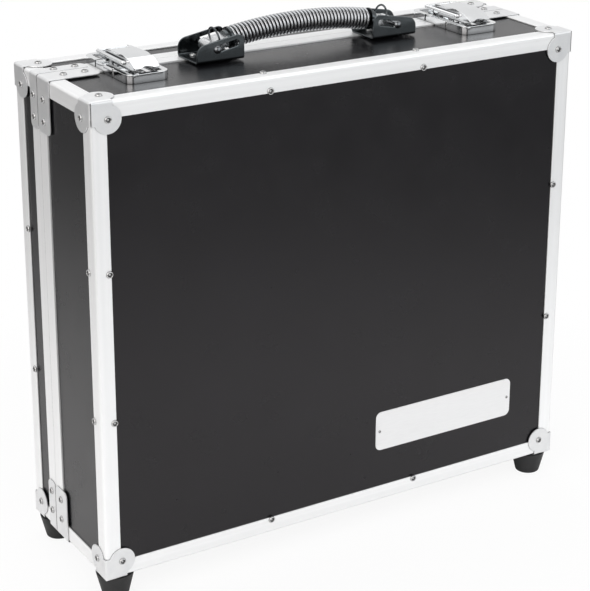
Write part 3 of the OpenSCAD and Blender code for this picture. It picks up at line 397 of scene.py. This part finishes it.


def make_edging(way):
    material = new_finish(f"satin_aluminium_{way}", colour=(0.93, 0.935, 0.94), metal=0.45, rough=0.36)
    lines = grain(material, scale=260, detail=2, stretch=GRAIN_STRETCH[way])
    tone = vary_colour(material, lines, dark=(0.905, 0.91, 0.915), light=(0.95, 0.955, 0.96))
    gloss = grain(material, scale=240, detail=2, stretch=GRAIN_STRETCH[way])
    vary_roughness(material, gloss, low=0.33, high=0.40)
    paint_crease_shade(material, tone, CREASE_SHADE_REACH, CREASE_SHADE_DEPTH)
    return material


edging = {way: make_edging(way) for way in "xyz"}
print("made", [m.name for m in edging.values()])

# %% [markdown]
# ## Zinc and nickel
# The corners, braces and hinges are zinc-plated sheet: pale grey, satin, with a faint cloudiness. The
# latches are nickel plated and far brighter. Both are one metal shader each with cloudy noise, and shade is
# painted into the colour of both at their joints. Zinc is kept less than fully metal, because its dull skin
# also scatters light. Inside a latch bright metal mirrors its own shade over and over, so the painted shade
# in its creases reaches further.

# %% Plate the sheet metal
LATCH_SHADE_REACH = 0.006       # how far the painted shade reaches out of the joints of a latch
# how dark the painted shade in a latch's joints makes it
LATCH_SHADE_DEPTH = 0.93


def make_zinc():
    material = new_finish("zinc_plate", colour=(0.81, 0.815, 0.825), metal=0.7, rough=0.40)
    tone = vary_colour(material, grain(material, scale=90, detail=4),
                       dark=(0.78, 0.787, 0.80), light=(0.84, 0.843, 0.847))
    vary_roughness(material, grain(material, scale=400, detail=3), low=0.39, high=0.45)
    paint_crease_shade(material, tone, CREASE_SHADE_REACH, CREASE_SHADE_DEPTH)
    return material


def make_nickel():
    material = new_finish("bright_nickel", colour=(0.84, 0.85, 0.86), metal=1.0, rough=0.07)
    tone = vary_colour(material, grain(material, scale=60, detail=2),
                       dark=(0.86, 0.87, 0.88), light=(0.91, 0.92, 0.93))
    vary_roughness(material, grain(material, scale=120, detail=3), low=0.05, high=0.09)
    paint_crease_shade(material, tone, LATCH_SHADE_REACH, LATCH_SHADE_DEPTH)
    return material


zinc = make_zinc()
nickel = make_nickel()
print("made", zinc.name, nickel.name)

# %% [markdown]
# ## Steel of the rivets and the handle
# The rivets are plain steel, darker than the plate round them, and the inside of the hole is painted nearly
# black for the shade in it. The handle has four metals: brackets, clips and ferrules in black nickel, dark
# but still a metal, pins in gunmetal, a spring of grey wire, and cast lugs with a skin like fine sand. Each
# is one colour on a full metal shader, because less metal would make them look painted.

# %% Make the steel of the rivets and the handle
def make_rivet_steel():
    material = new_finish("rivet_steel", colour=(0.58, 0.58, 0.58), metal=1.0, rough=0.24)
    vary_roughness(material, grain(material, scale=700, detail=3), low=0.2, high=0.3)
    return material


# The shade deep in a rivet's hole is painted in as a nearly black colour.
def make_painted_hole_shade():
    material = new_finish("painted_hole_shade", colour=(0.09, 0.09, 0.09), metal=1.0, rough=0.4)
    vary_colour(material, grain(material, scale=900, detail=3),
                dark=(0.06, 0.06, 0.06), light=(0.13, 0.13, 0.13))
    return material


def make_black_nickel():
    material = new_finish("black_nickel", colour=(0.095, 0.105, 0.11), metal=1.0, rough=0.2)
    vary_colour(material, grain(material, scale=60, detail=2),
                dark=(0.088, 0.098, 0.103), light=(0.102, 0.112, 0.117))
    vary_roughness(material, grain(material, scale=60, detail=2), low=0.17, high=0.23)
    return material


def make_gunmetal():
    material = new_finish("gunmetal", colour=(0.20, 0.21, 0.22), metal=1.0, rough=0.14)
    vary_colour(material, grain(material, scale=200, detail=2),
                dark=(0.18, 0.19, 0.20), light=(0.22, 0.23, 0.24))
    vary_roughness(material, grain(material, scale=200, detail=2), low=0.12, high=0.18)
    return material


def make_spring_wire():
    material = new_finish("spring_wire", colour=(0.52, 0.53, 0.545), metal=1.0, rough=0.24)
    vary_roughness(material, grain(material, scale=600, detail=3), low=0.2, high=0.3)
    return material


def make_cast_lug():
    material = new_finish("cast_lug", colour=(0.72, 0.73, 0.74), metal=1.0, rough=0.25)
    vary_roughness(material, grain(material, scale=500, detail=3), low=0.2, high=0.34)
    add_bump(material, grain(material, scale=1800, detail=2), height=0.00002, strength=0.15)
    return material


rivet_steel = make_rivet_steel()
painted_hole_shade = make_painted_hole_shade()
black_nickel = make_black_nickel()
gunmetal = make_gunmetal()
spring_wire = make_spring_wire()
cast_lug = make_cast_lug()
print("made", [m.name for m in (rivet_steel, painted_hole_shade, black_nickel, gunmetal, spring_wire, cast_lug)])

# %% [markdown]
# ## Bare plate, rubber and foam
# The plate on the front is brushed sideways, so its noise is drawn out along
# X. Rubber is nearly black and dull, with a fine bump. Foam scatters light in
# its open cells: a rough surface with a strong, fine bump looks like that, and
# real cells would cost millions of faces.

# %% Make the bare plate, rubber and foam
BRUSHED = (0.06, 1, 1)    # stretch of the noise along the brushing
RUBBER_BLUE = 1.03        # rubber is a touch bluer than grey
RUBBER_WANDER = 0.07      # how far its roughness wanders


def make_bare_plate():
    material = new_finish("bare_plate", colour=(0.86, 0.86, 0.865), metal=0.5, rough=0.42)
    brushed = grain(material, scale=1500, detail=3, stretch=BRUSHED)
    vary_colour(material, brushed, dark=(0.84, 0.84, 0.845), light=(0.88, 0.88, 0.885))
    vary_roughness(material, brushed, low=0.38, high=0.48)
    return material


def make_rubber(name, value, rough):
    material = new_finish(name, colour=(value, value, value * RUBBER_BLUE), metal=0.0, rough=rough,
                          specular=0.4)
    wander = grain(material, scale=200, detail=3)
    vary_roughness(material, wander, low=rough - RUBBER_WANDER, high=rough + RUBBER_WANDER)
    add_bump(material, grain(material, scale=2500, detail=2), height=0.00005, strength=0.5)
    return material


def make_foam():
    material = new_finish("charcoal_foam", colour=(0.035, 0.036, 0.04), metal=0.0, rough=0.95, specular=0.2)
    vary_colour(material, grain(material, scale=900, detail=4),
                dark=(0.022, 0.023, 0.026), light=(0.05, 0.051, 0.056))
    add_bump(material, grain(material, scale=1300, detail=4), height=0.0004, strength=0.8)
    return material


bare_plate = make_bare_plate()
foot_rubber = make_rubber("foot_rubber", value=0.016, rough=0.55)
core_rubber = make_rubber("core_rubber", value=0.02, rough=0.5)
foam = make_foam()
print("made", bare_plate.name, foot_rubber.name, core_rubber.name, foam.name)

# %% [markdown]
# ## Finishes on the solids
# A solid whose shape is right keeps its mesh and only gets its finish. A table
# from each solid's name to its finish is easier to check than a material set
# by hand on each of them. The panels and the latches go by their names. The
# solids that are made again further down get a finish as well, so that none
# is left without.

# %% Give each solid its finish
FINISH_OF = {
    "front_edge_rails": edging["x"], "back_edge_rails": edging["x"],
    "front_edge_posts": edging["z"], "back_edge_posts": edging["z"],
    "base_corner_edging": edging["y"], "lid_corner_edging": edging["y"],
    "base_closing_profiles": edging["z"], "lid_closing_profiles": edging["z"],
    "front_corner_plates": zinc, "back_corner_plates": zinc,
    "base_braces": zinc, "lid_braces": zinc,
    "base_hinge_leaves": zinc, "lid_hinge_leaves": zinc, "hinge_pins": rivet_steel,
    "base_rivets": rivet_steel, "lid_rivets": rivet_steel,
    "front_foot_screws": rivet_steel, "rear_foot_screws": rivet_steel,
    "lever_pin_left": rivet_steel, "lever_pin_right": rivet_steel,
    "front_feet": foot_rubber, "rear_feet": foot_rubber,
    "name_plate": bare_plate, "base_lining": foam, "lid_lining": foam,
    "handle_bracket_left": black_nickel, "handle_bracket_right": black_nickel,
    "handle_ferrule_left": black_nickel, "handle_ferrule_right": black_nickel,
    "handle_clip_left": black_nickel, "handle_clip_right": black_nickel,
    "handle_pin_left": gunmetal, "handle_pin_right": gunmetal,
    "handle_lug_left": cast_lug, "handle_lug_right": cast_lug,
    "handle_core_left": core_rubber, "handle_core_right": core_rubber,
    "handle_coil": spring_wire,
}


def finish_of(name):
    if "panel" in name:
        return laminate
    if name.startswith("latch_"):
        return nickel
    return FINISH_OF[name]


for name, solid in nodes.items():
    solid.data.materials.clear()
    solid.data.materials.append(finish_of(name))
print("finished solids:", len(nodes))

# %% [markdown]
# ## Edges that catch the light
# A blade or a press rounds the edge of a metal sheet by a fraction of a
# millimetre. That small round is what draws a bright line along the ears of
# the brackets and the rims of the latches. It could be built into the solids,
# but modifiers add it without touching their meshes. The solids come in as
# loose triangles, so a weld closes them, flat triangles are joined to whole
# faces, and a bevel rounds only the edges that are sharper than the limit.
# Then all is shaded smooth but for what is still sharp, and the normals lean
# to the larger faces, so that flat sheet looks flat up to its rounded edge.

# %% Round the edges of the sheet metal
WELD = 0.00001            # distance within which corners are joined to one
FLAT = math.radians(1)    # faces that meet at less than this become one face
SHARP = math.radians(35)  # edges that turn by more than this are rounded
EDGE_STEPS = 2
LEAN = 100                # how strongly the normals lean to the larger faces
ROUNDED = {
    "handle_bracket_left": 0.0006, "handle_bracket_right": 0.0006,
    "latch_lever_left": 0.0003, "latch_lever_right": 0.0003,
    "latch_tray_left": 0.0003, "latch_tray_right": 0.0003,
    "latch_strike_left": 0.00025, "latch_strike_right": 0.00025,
    "front_corner_plates": 0.0003, "back_corner_plates": 0.0003,
    "base_braces": 0.0003, "lid_braces": 0.0003,
    "front_edge_rails": 0.0002, "back_edge_rails": 0.0002,
    "front_edge_posts": 0.0002, "back_edge_posts": 0.0002,
    "base_corner_edging": 0.0002, "lid_corner_edging": 0.0002,
    "name_plate": 0.0002,
}


def make_smoothing(name, limit):
    """A geometry node group that shades a mesh smooth, but keeps edges above an angle sharp."""
    group = bpy.data.node_groups.new(name, "GeometryNodeTree")
    group.interface.new_socket("Geometry", in_out="INPUT", socket_type="NodeSocketGeometry")
    group.interface.new_socket("Geometry", in_out="OUTPUT", socket_type="NodeSocketGeometry")
    come = group.nodes.new("NodeGroupInput")
    faces = group.nodes.new("GeometryNodeSetShadeSmooth")
    faces.domain = "FACE"
    angle = group.nodes.new("GeometryNodeInputMeshEdgeAngle")
    above = group.nodes.new("FunctionNodeCompare")
    above.inputs["B"].default_value = limit
    edges = group.nodes.new("GeometryNodeSetShadeSmooth")
    edges.domain = "EDGE"
    edges.inputs["Shade Smooth"].default_value = False
    leave = group.nodes.new("NodeGroupOutput")
    group.links.new(come.outputs[0], faces.inputs["Geometry"])
    group.links.new(angle.outputs["Unsigned Angle"], above.inputs["A"])
    group.links.new(above.outputs["Result"], edges.inputs["Selection"])
    group.links.new(faces.outputs["Geometry"], edges.inputs["Geometry"])
    group.links.new(edges.outputs["Geometry"], leave.inputs[0])
    return group


smoothing = make_smoothing("smooth_but_for_edges", SHARP)


def round_edges(solid, width):
    weld = solid.modifiers.new("weld", "WELD")
    weld.merge_threshold = WELD
    flat = solid.modifiers.new("whole_faces", "DECIMATE")
    flat.decimate_type = "DISSOLVE"
    flat.angle_limit = FLAT
    bevel = solid.modifiers.new("rounded_edge", "BEVEL")
    bevel.width = width
    bevel.segments = EDGE_STEPS
    bevel.limit_method = "ANGLE"
    bevel.angle_limit = SHARP
    bevel.use_clamp_overlap = False
    smooth = solid.modifiers.new("smooth", "NODES")
    smooth.node_group = smoothing
    lean = solid.modifiers.new("lean_to_large_faces", "WEIGHTED_NORMAL")
    lean.keep_sharp = True
    lean.weight = LEAN


for name, width in ROUNDED.items():
    round_edges(nodes[name], width)
print("rounded:", len(ROUNDED))

# %% [markdown]
# ## Rivets
# The case is held together by pop rivets. Each head is a low dome with a hole in its middle, and deep in it
# shows the steel mandrel that broke off. At this size the hole is what the eye sees: a dark ring in a
# bright one, and the dark of the ring is painted shade. Domes could be set by hand, but the frame already
# says where each rivet sits, so the heads are measured there: the loose parts of the rivet solids are
# found, and a head turned like a piece on a lathe is stamped on each place.

# %% Measure the rivets in the frame
RIM_SHARE = 0.98          # corners this far out, as a share of the radius, belong to the head's foot
case_middle = (cad_box[0] + cad_box[1]) / 2


def loose_parts(solid):
    """The corners of each loose part of a solid."""
    bm = bmesh.new()
    bm.from_mesh(solid.data)
    bmesh.ops.remove_doubles(bm, verts=bm.verts, dist=WELD)
    seen = set()
    parts = []
    for start in bm.verts:
        if start in seen:
            continue
        seen.add(start)
        part = [start]
        for vert in part:
            for edge in vert.link_edges:
                other = edge.other_vert(vert)
                if other not in seen:
                    seen.add(other)
                    part.append(other)
        parts.append([vert.co.copy() for vert in part])
    bm.free()
    return parts


def measure_rivet(corners):
    """Where a rivet's head sits: foot of the head, outward direction, radius, height and shank length."""
    low = Vector([min(c[i] for c in corners) for i in range(3)])
    high = Vector([max(c[i] for c in corners) for i in range(3)])
    size = high - low
    middle = (low + high) / 2
    axis = min(range(3), key=lambda i: size[i])
    outward = Vector((0, 0, 0))
    outward[axis] = 1 if middle[axis] > case_middle[axis] else -1
    radius = max(size) / 2
    along = [(c - middle).dot(outward) for c in corners]
    across = [((c - middle) - (c - middle).dot(outward) * outward).length for c in corners]
    foot = min(a for a, r in zip(along, across) if r > RIM_SHARE * radius)
    return middle + foot * outward, outward, radius, max(along) - foot, foot - min(along)


rivets = {name: [measure_rivet(part) for part in loose_parts(nodes[name])]
          for name in ("base_rivets", "lid_rivets")}
print({name: len(found) for name, found in rivets.items()})

# %% Turn one rivet head and stamp it on each place
RIVET_STEPS = 24
POLE_MERGE = 0.000001     # joins the corners that a spin leaves on its axis
SHANK = 0.615             # radius of the shank, as a share of the head's
SHANK_LEAST = 0.01        # a shorter one, in heights of the head, is left out
MANDREL = 0.36            # radius of the steel that is left in the hole, as a share of the head's
HOLE_LIP = 0.03           # faces nearer than this to the hole's edge are left out of the painted shade
RIM_PROFILE = [(0.64, 0.78), (0.70, 0.97), (0.78, 1.0), (0.88, 0.80), (0.96, 0.44), (1.0, 0.0)]
HOLE_PROFILE = [(0.0, 0.42), (0.22, 0.38), (0.33, 0.22), (0.38, 0.06), (0.54, 0.06), (0.64, 0.78)]


def turned(profile, steps):
    """A mesh of a profile of (radius, height) points turned round Z."""
    bm = bmesh.new()
    line = [bm.verts.new((r, 0, z)) for r, z in profile]
    edges = [bm.edges.new(pair) for pair in zip(line, line[1:])]
    bmesh.ops.spin(bm, geom=line + edges, cent=(0, 0, 0), axis=(0, 0, 1), angle=2 * math.pi,
                   steps=steps, use_merge=True)
    bmesh.ops.remove_doubles(bm, verts=bm.verts, dist=POLE_MERGE)
    bmesh.ops.recalc_face_normals(bm, faces=bm.faces)
    for face in bm.faces:
        face.smooth = True
    mesh = bpy.data.meshes.new("turned")
    bm.to_mesh(mesh)
    bm.free()
    return mesh


def rivet_head(shank):
    """A rivet of radius 1 and height 1, with the rim in the first material and the inside of the hole,
    painted dark for its shade, in the second.
    """
    foot = [(SHANK, 0.0), (SHANK, -shank), (0.0, -shank)] if shank > SHANK_LEAST else [(0.0, 0.0)]
    bm = bmesh.new()
    bm.from_mesh(turned(HOLE_PROFILE + RIM_PROFILE[1:] + foot, RIVET_STEPS))
    hole_edge = HOLE_PROFILE[-1][0]
    for face in bm.faces:
        middle = face.calc_center_median()
        # The walls and floor of the hole round the mandrel take the nearly black material: painted shade.
        if middle.z > 0 and MANDREL < middle.xy.length < hole_edge - HOLE_LIP:
            face.material_index = 1
    mesh = bpy.data.meshes.new("rivet_head")
    bm.to_mesh(mesh)
    bm.free()
    return mesh


def stamp(bm, mesh, matrix):
    """Adds a mesh to bm, moved by a matrix."""
    first = len(bm.verts)
    bm.from_mesh(mesh)
    bm.verts.ensure_lookup_table()
    bmesh.ops.transform(bm, matrix=matrix, verts=bm.verts[first:])


def finished_piece(name, bm, materials, body, slot, *replaced):
    """A new object from bm that rides on a body, if one is given, and stands for CAD nodes."""
    mesh = bpy.data.meshes.new(name)
    bm.to_mesh(mesh)
    bm.free()
    for material in materials:
        mesh.materials.append(material)
    piece = bpy.data.objects.new(name, mesh)
    scene.collection.objects.link(piece)
    if body:
        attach(piece, body)
    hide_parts(*replaced)
    return piece


def make_rivets(name, body, node):
    """All rivet heads of a node in one piece. A head is turned once for each length of shank."""
    bm = bmesh.new()
    heads = {}
    for foot, outward, radius, height, shank in rivets[node]:
        turn = outward.to_track_quat("Z", "Y").to_matrix().to_4x4()
        size = Matrix.Diagonal((radius, radius, height, 1))
        kind = round(shank / height, 2)
        if kind not in heads:
            heads[kind] = rivet_head(shank / height)
        stamp(bm, heads[kind], Matrix.Translation(foot) @ turn @ size)
    return finished_piece(name, bm, [rivet_steel, painted_hole_shade], body, "fastener", node)


base_rivet_heads = make_rivets("base_rivet_heads", "base", "base_rivets")
lid_rivet_heads = make_rivets("lid_rivet_heads", "lid", "lid_rivets")
print("faces of the rivets:", len(base_rivet_heads.data.polygons) + len(lid_rivet_heads.data.polygons))

# %% [markdown]
# ## Grip
# The grip is a rubber core with a steel spring wound round it. Both follow a
# shallow arch from pin to pin. The arch is measured from the frame: the pins
# give its ends and the top of the spring gives its middle. A curve modifier
# could bend the pieces, but every corner can just as well be laid on the arch
# by one small function, which leaves nothing live behind.

# %% Measure the arch
coil_low, coil_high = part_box("handle_coil")
core_low, core_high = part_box("handle_core_right")
pin_low, pin_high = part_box("handle_pin_right")
coil_radius = (coil_high.y - coil_low.y) / 2
core_radius = (core_high.y - core_low.y) / 2
grip_y = (coil_high.y + coil_low.y) / 2
grip_z = coil_high.z - coil_radius
pin_x = (pin_high.x + pin_low.x) / 2
rise = grip_z - (pin_high.z + pin_low.z) / 2
arch_radius = (pin_x ** 2 + rise ** 2) / (2 * rise)
arch_angle = math.asin(core_high.x / (arch_radius + core_radius))


def lay_on_arch(bm):
    """Bends what was made straight along X to the arch of the grip."""
    for vert in bm.verts:
        angle = vert.co.x / arch_radius
        reach = arch_radius + vert.co.z
        arched_z = grip_z - arch_radius + reach * math.cos(angle)
        vert.co = (reach * math.sin(angle), grip_y + vert.co.y, arched_z)


print("arch radius", round(arch_radius, 4), "half angle", round(math.degrees(arch_angle), 2))

# %% [markdown]
# ## Spring
# The spring is one wire of forty turns that lie close together. A spin that
# moves along its axis while it turns is a helix, so the wire's section is spun
# round X and comes out as a straight spring. It is laid on the arch last. A
# screw modifier winds springs too, but its result would have to be applied
# before it could be bent.

# %% Wind the spring
COIL_TURNS = 40
WIRE = 0.0023             # diameter
WIRE_SIDES = 10
TURN_STEPS = 22


def close_ends(bm):
    """Closes both ends of a swept piece with a flat face, and shades the rest smooth."""
    bmesh.ops.holes_fill(bm, edges=[edge for edge in bm.edges if edge.is_boundary])
    bmesh.ops.recalc_face_normals(bm, faces=bm.faces)
    for face in bm.faces:
        face.smooth = len(face.verts) == 4


def wind_spring():
    length = 2 * arch_radius * arch_angle - WIRE
    steps = COIL_TURNS * TURN_STEPS
    bm = bmesh.new()
    section = bmesh.ops.create_circle(bm, segments=WIRE_SIDES, radius=WIRE / 2)["verts"]
    start = Matrix.Translation((-length / 2, 0, coil_radius - WIRE / 2))
    place = start @ Matrix.Rotation(math.pi / 2, 4, "X")
    bmesh.ops.transform(bm, matrix=place, verts=section)
    bmesh.ops.spin(bm, geom=bm.verts[:] + bm.edges[:], cent=(0, 0, 0), axis=(1, 0, 0),
                   dvec=(length / steps, 0, 0), angle=2 * math.pi * COIL_TURNS, steps=steps)
    close_ends(bm)
    lay_on_arch(bm)
    return finished_piece("grip_spring", bm, [spring_wire], None, "coil_steel", "handle_coil")


grip_spring = wind_spring()
print("spring faces:", len(grip_spring.data.polygons))

# %% [markdown]
# ## Core
# Between the turns of the spring the rubber core shows. It is a long round bar: a circle that the same
# operator moves along without turning, in steps short enough to follow the arch. The handle bends in its
# middle when it is lifted. The core and the spring ride on neither of its two halves: riding on one half,
# they would tear off the other.

# %% Cast the rubber core
CORE_SIDES = 28
CORE_STEPS = 40


def cast_core():
    length = 2 * arch_radius * arch_angle
    bm = bmesh.new()
    section = bmesh.ops.create_circle(bm, segments=CORE_SIDES, radius=core_radius)["verts"]
    place = Matrix.Translation((-length / 2, 0, 0)) @ Matrix.Rotation(math.pi / 2, 4, "Y")
    bmesh.ops.transform(bm, matrix=place, verts=section)
    bmesh.ops.spin(bm, geom=bm.verts[:] + bm.edges[:], cent=(0, 0, 0), axis=(1, 0, 0),
                   dvec=(length / CORE_STEPS, 0, 0), angle=0, steps=CORE_STEPS)
    close_ends(bm)
    lay_on_arch(bm)
    return finished_piece("grip_core", bm, [core_rubber], None, "core_rubber",
                          "handle_core_left", "handle_core_right")


grip_core = cast_core()
for piece in (grip_core, grip_spring):
    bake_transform(piece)
print("core faces:", len(grip_core.data.polygons))

# %% [markdown]
# ## Foam in the base
# Inside, the base is lined with sheets of flat foam, one on the panel behind
# the front and one on each wall, cut square and glued in side by side. Flat
# glued foam neither sags nor folds, so a simulation would change nothing:
# each sheet is a slab with soft edges, and a hair of air lies between
# neighbours.

# %% Cut the sheets for the base
WALL_FOAM = 0.006         # thickness of the sheets on the walls
FLOOR_FOAM = 0.008        # and of the sheet behind the front
FOAM_EDGE = 0.0012        # rounding of a cut edge
FOAM_EDGE_STEPS = 3
FOAM_SEAM = 0.0003        # gap between neighbouring sheets


def add_sheet(bm, low, high):
    """A slab of foam between two corners, with soft edges."""
    low = Vector(low) + Vector((FOAM_SEAM, FOAM_SEAM, FOAM_SEAM)) / 2
    high = Vector(high) - Vector((FOAM_SEAM, FOAM_SEAM, FOAM_SEAM)) / 2
    made = bmesh.ops.create_cube(bm, size=1)["verts"]
    place = Matrix.Translation((low + high) / 2) @ Matrix.Diagonal((*(high - low), 1))
    bmesh.ops.transform(bm, matrix=place, verts=made)
    edges = list({edge for vert in made for edge in vert.link_edges})
    bmesh.ops.bevel(bm, geom=edges, offset=FOAM_EDGE, segments=FOAM_EDGE_STEPS, profile=0.5,
                    affect="EDGES", material=-1)


def line_base():
    low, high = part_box("base_lining")
    bm = bmesh.new()
    add_sheet(bm, low, (high.x, low.y + FLOOR_FOAM, high.z))
    near = low.y + FLOOR_FOAM
    add_sheet(bm, (low.x, near, low.z), (low.x + WALL_FOAM, high.y, high.z))
    add_sheet(bm, (high.x - WALL_FOAM, near, low.z), (high.x, high.y, high.z))
    add_sheet(bm, (low.x + WALL_FOAM, near, low.z), (high.x - WALL_FOAM, high.y, low.z + WALL_FOAM))
    add_sheet(bm, (low.x + WALL_FOAM, near, high.z - WALL_FOAM), (high.x - WALL_FOAM, high.y, high.z))
    for face in bm.faces:
        face.smooth = True
    piece = finished_piece("base_foam", bm, [foam], "base", "foam", "base_lining")
    return piece


base_foam = line_base()
print("base foam:", len(base_foam.data.polygons), "faces")

# %% [markdown]
# ## Foam in the lid
# The lid holds a thicker pad with an egg-crate face that presses on the
# pedals. A displacement by a texture could raise the crests too, but two
# crossed waves set their distance exactly. The pad is a grid whose points rise
# and fall with the waves, and an extrusion takes it back to the panel.

# %% Cast the egg-crate pad for the lid
WAVE = 0.034              # distance from crest to crest
WAVE_HEIGHT = 0.008
WAVE_STEPS = 10           # grid steps in one wave
CUT_SIDE = 0.99           # a face whose normal lies this close to X or Z is a cut side, and stays flat


def line_lid():
    low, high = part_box("lid_lining")
    size = high - low
    across = round(size.x / WAVE * WAVE_STEPS)
    up = round(size.z / WAVE * WAVE_STEPS)
    bm = bmesh.new()
    bmesh.ops.create_grid(bm, x_segments=across, y_segments=up, size=0.5)
    for vert in bm.verts:
        x = low.x + (vert.co.x + 0.5) * size.x
        z = low.z + (vert.co.y + 0.5) * size.z
        wave = math.cos(2 * math.pi * x / WAVE) * math.cos(2 * math.pi * (z - low.z) / WAVE)
        vert.co = (x, low.y + WAVE_HEIGHT * (0.5 - 0.5 * wave), z)
    front = bm.faces[:]
    made = bmesh.ops.extrude_face_region(bm, geom=front, use_keep_orig=True)["geom"]
    for vert in (item for item in made if isinstance(item, bmesh.types.BMVert)):
        vert.co.y = high.y
    bmesh.ops.recalc_face_normals(bm, faces=bm.faces)
    for face in bm.faces:
        face.smooth = abs(face.normal.x) < CUT_SIDE and abs(face.normal.z) < CUT_SIDE
    piece = finished_piece("lid_foam", bm, [foam], "lid", "foam", "lid_lining")
    return piece


lid_foam = line_lid()
print("lid foam:", len(lid_foam.data.polygons), "faces")
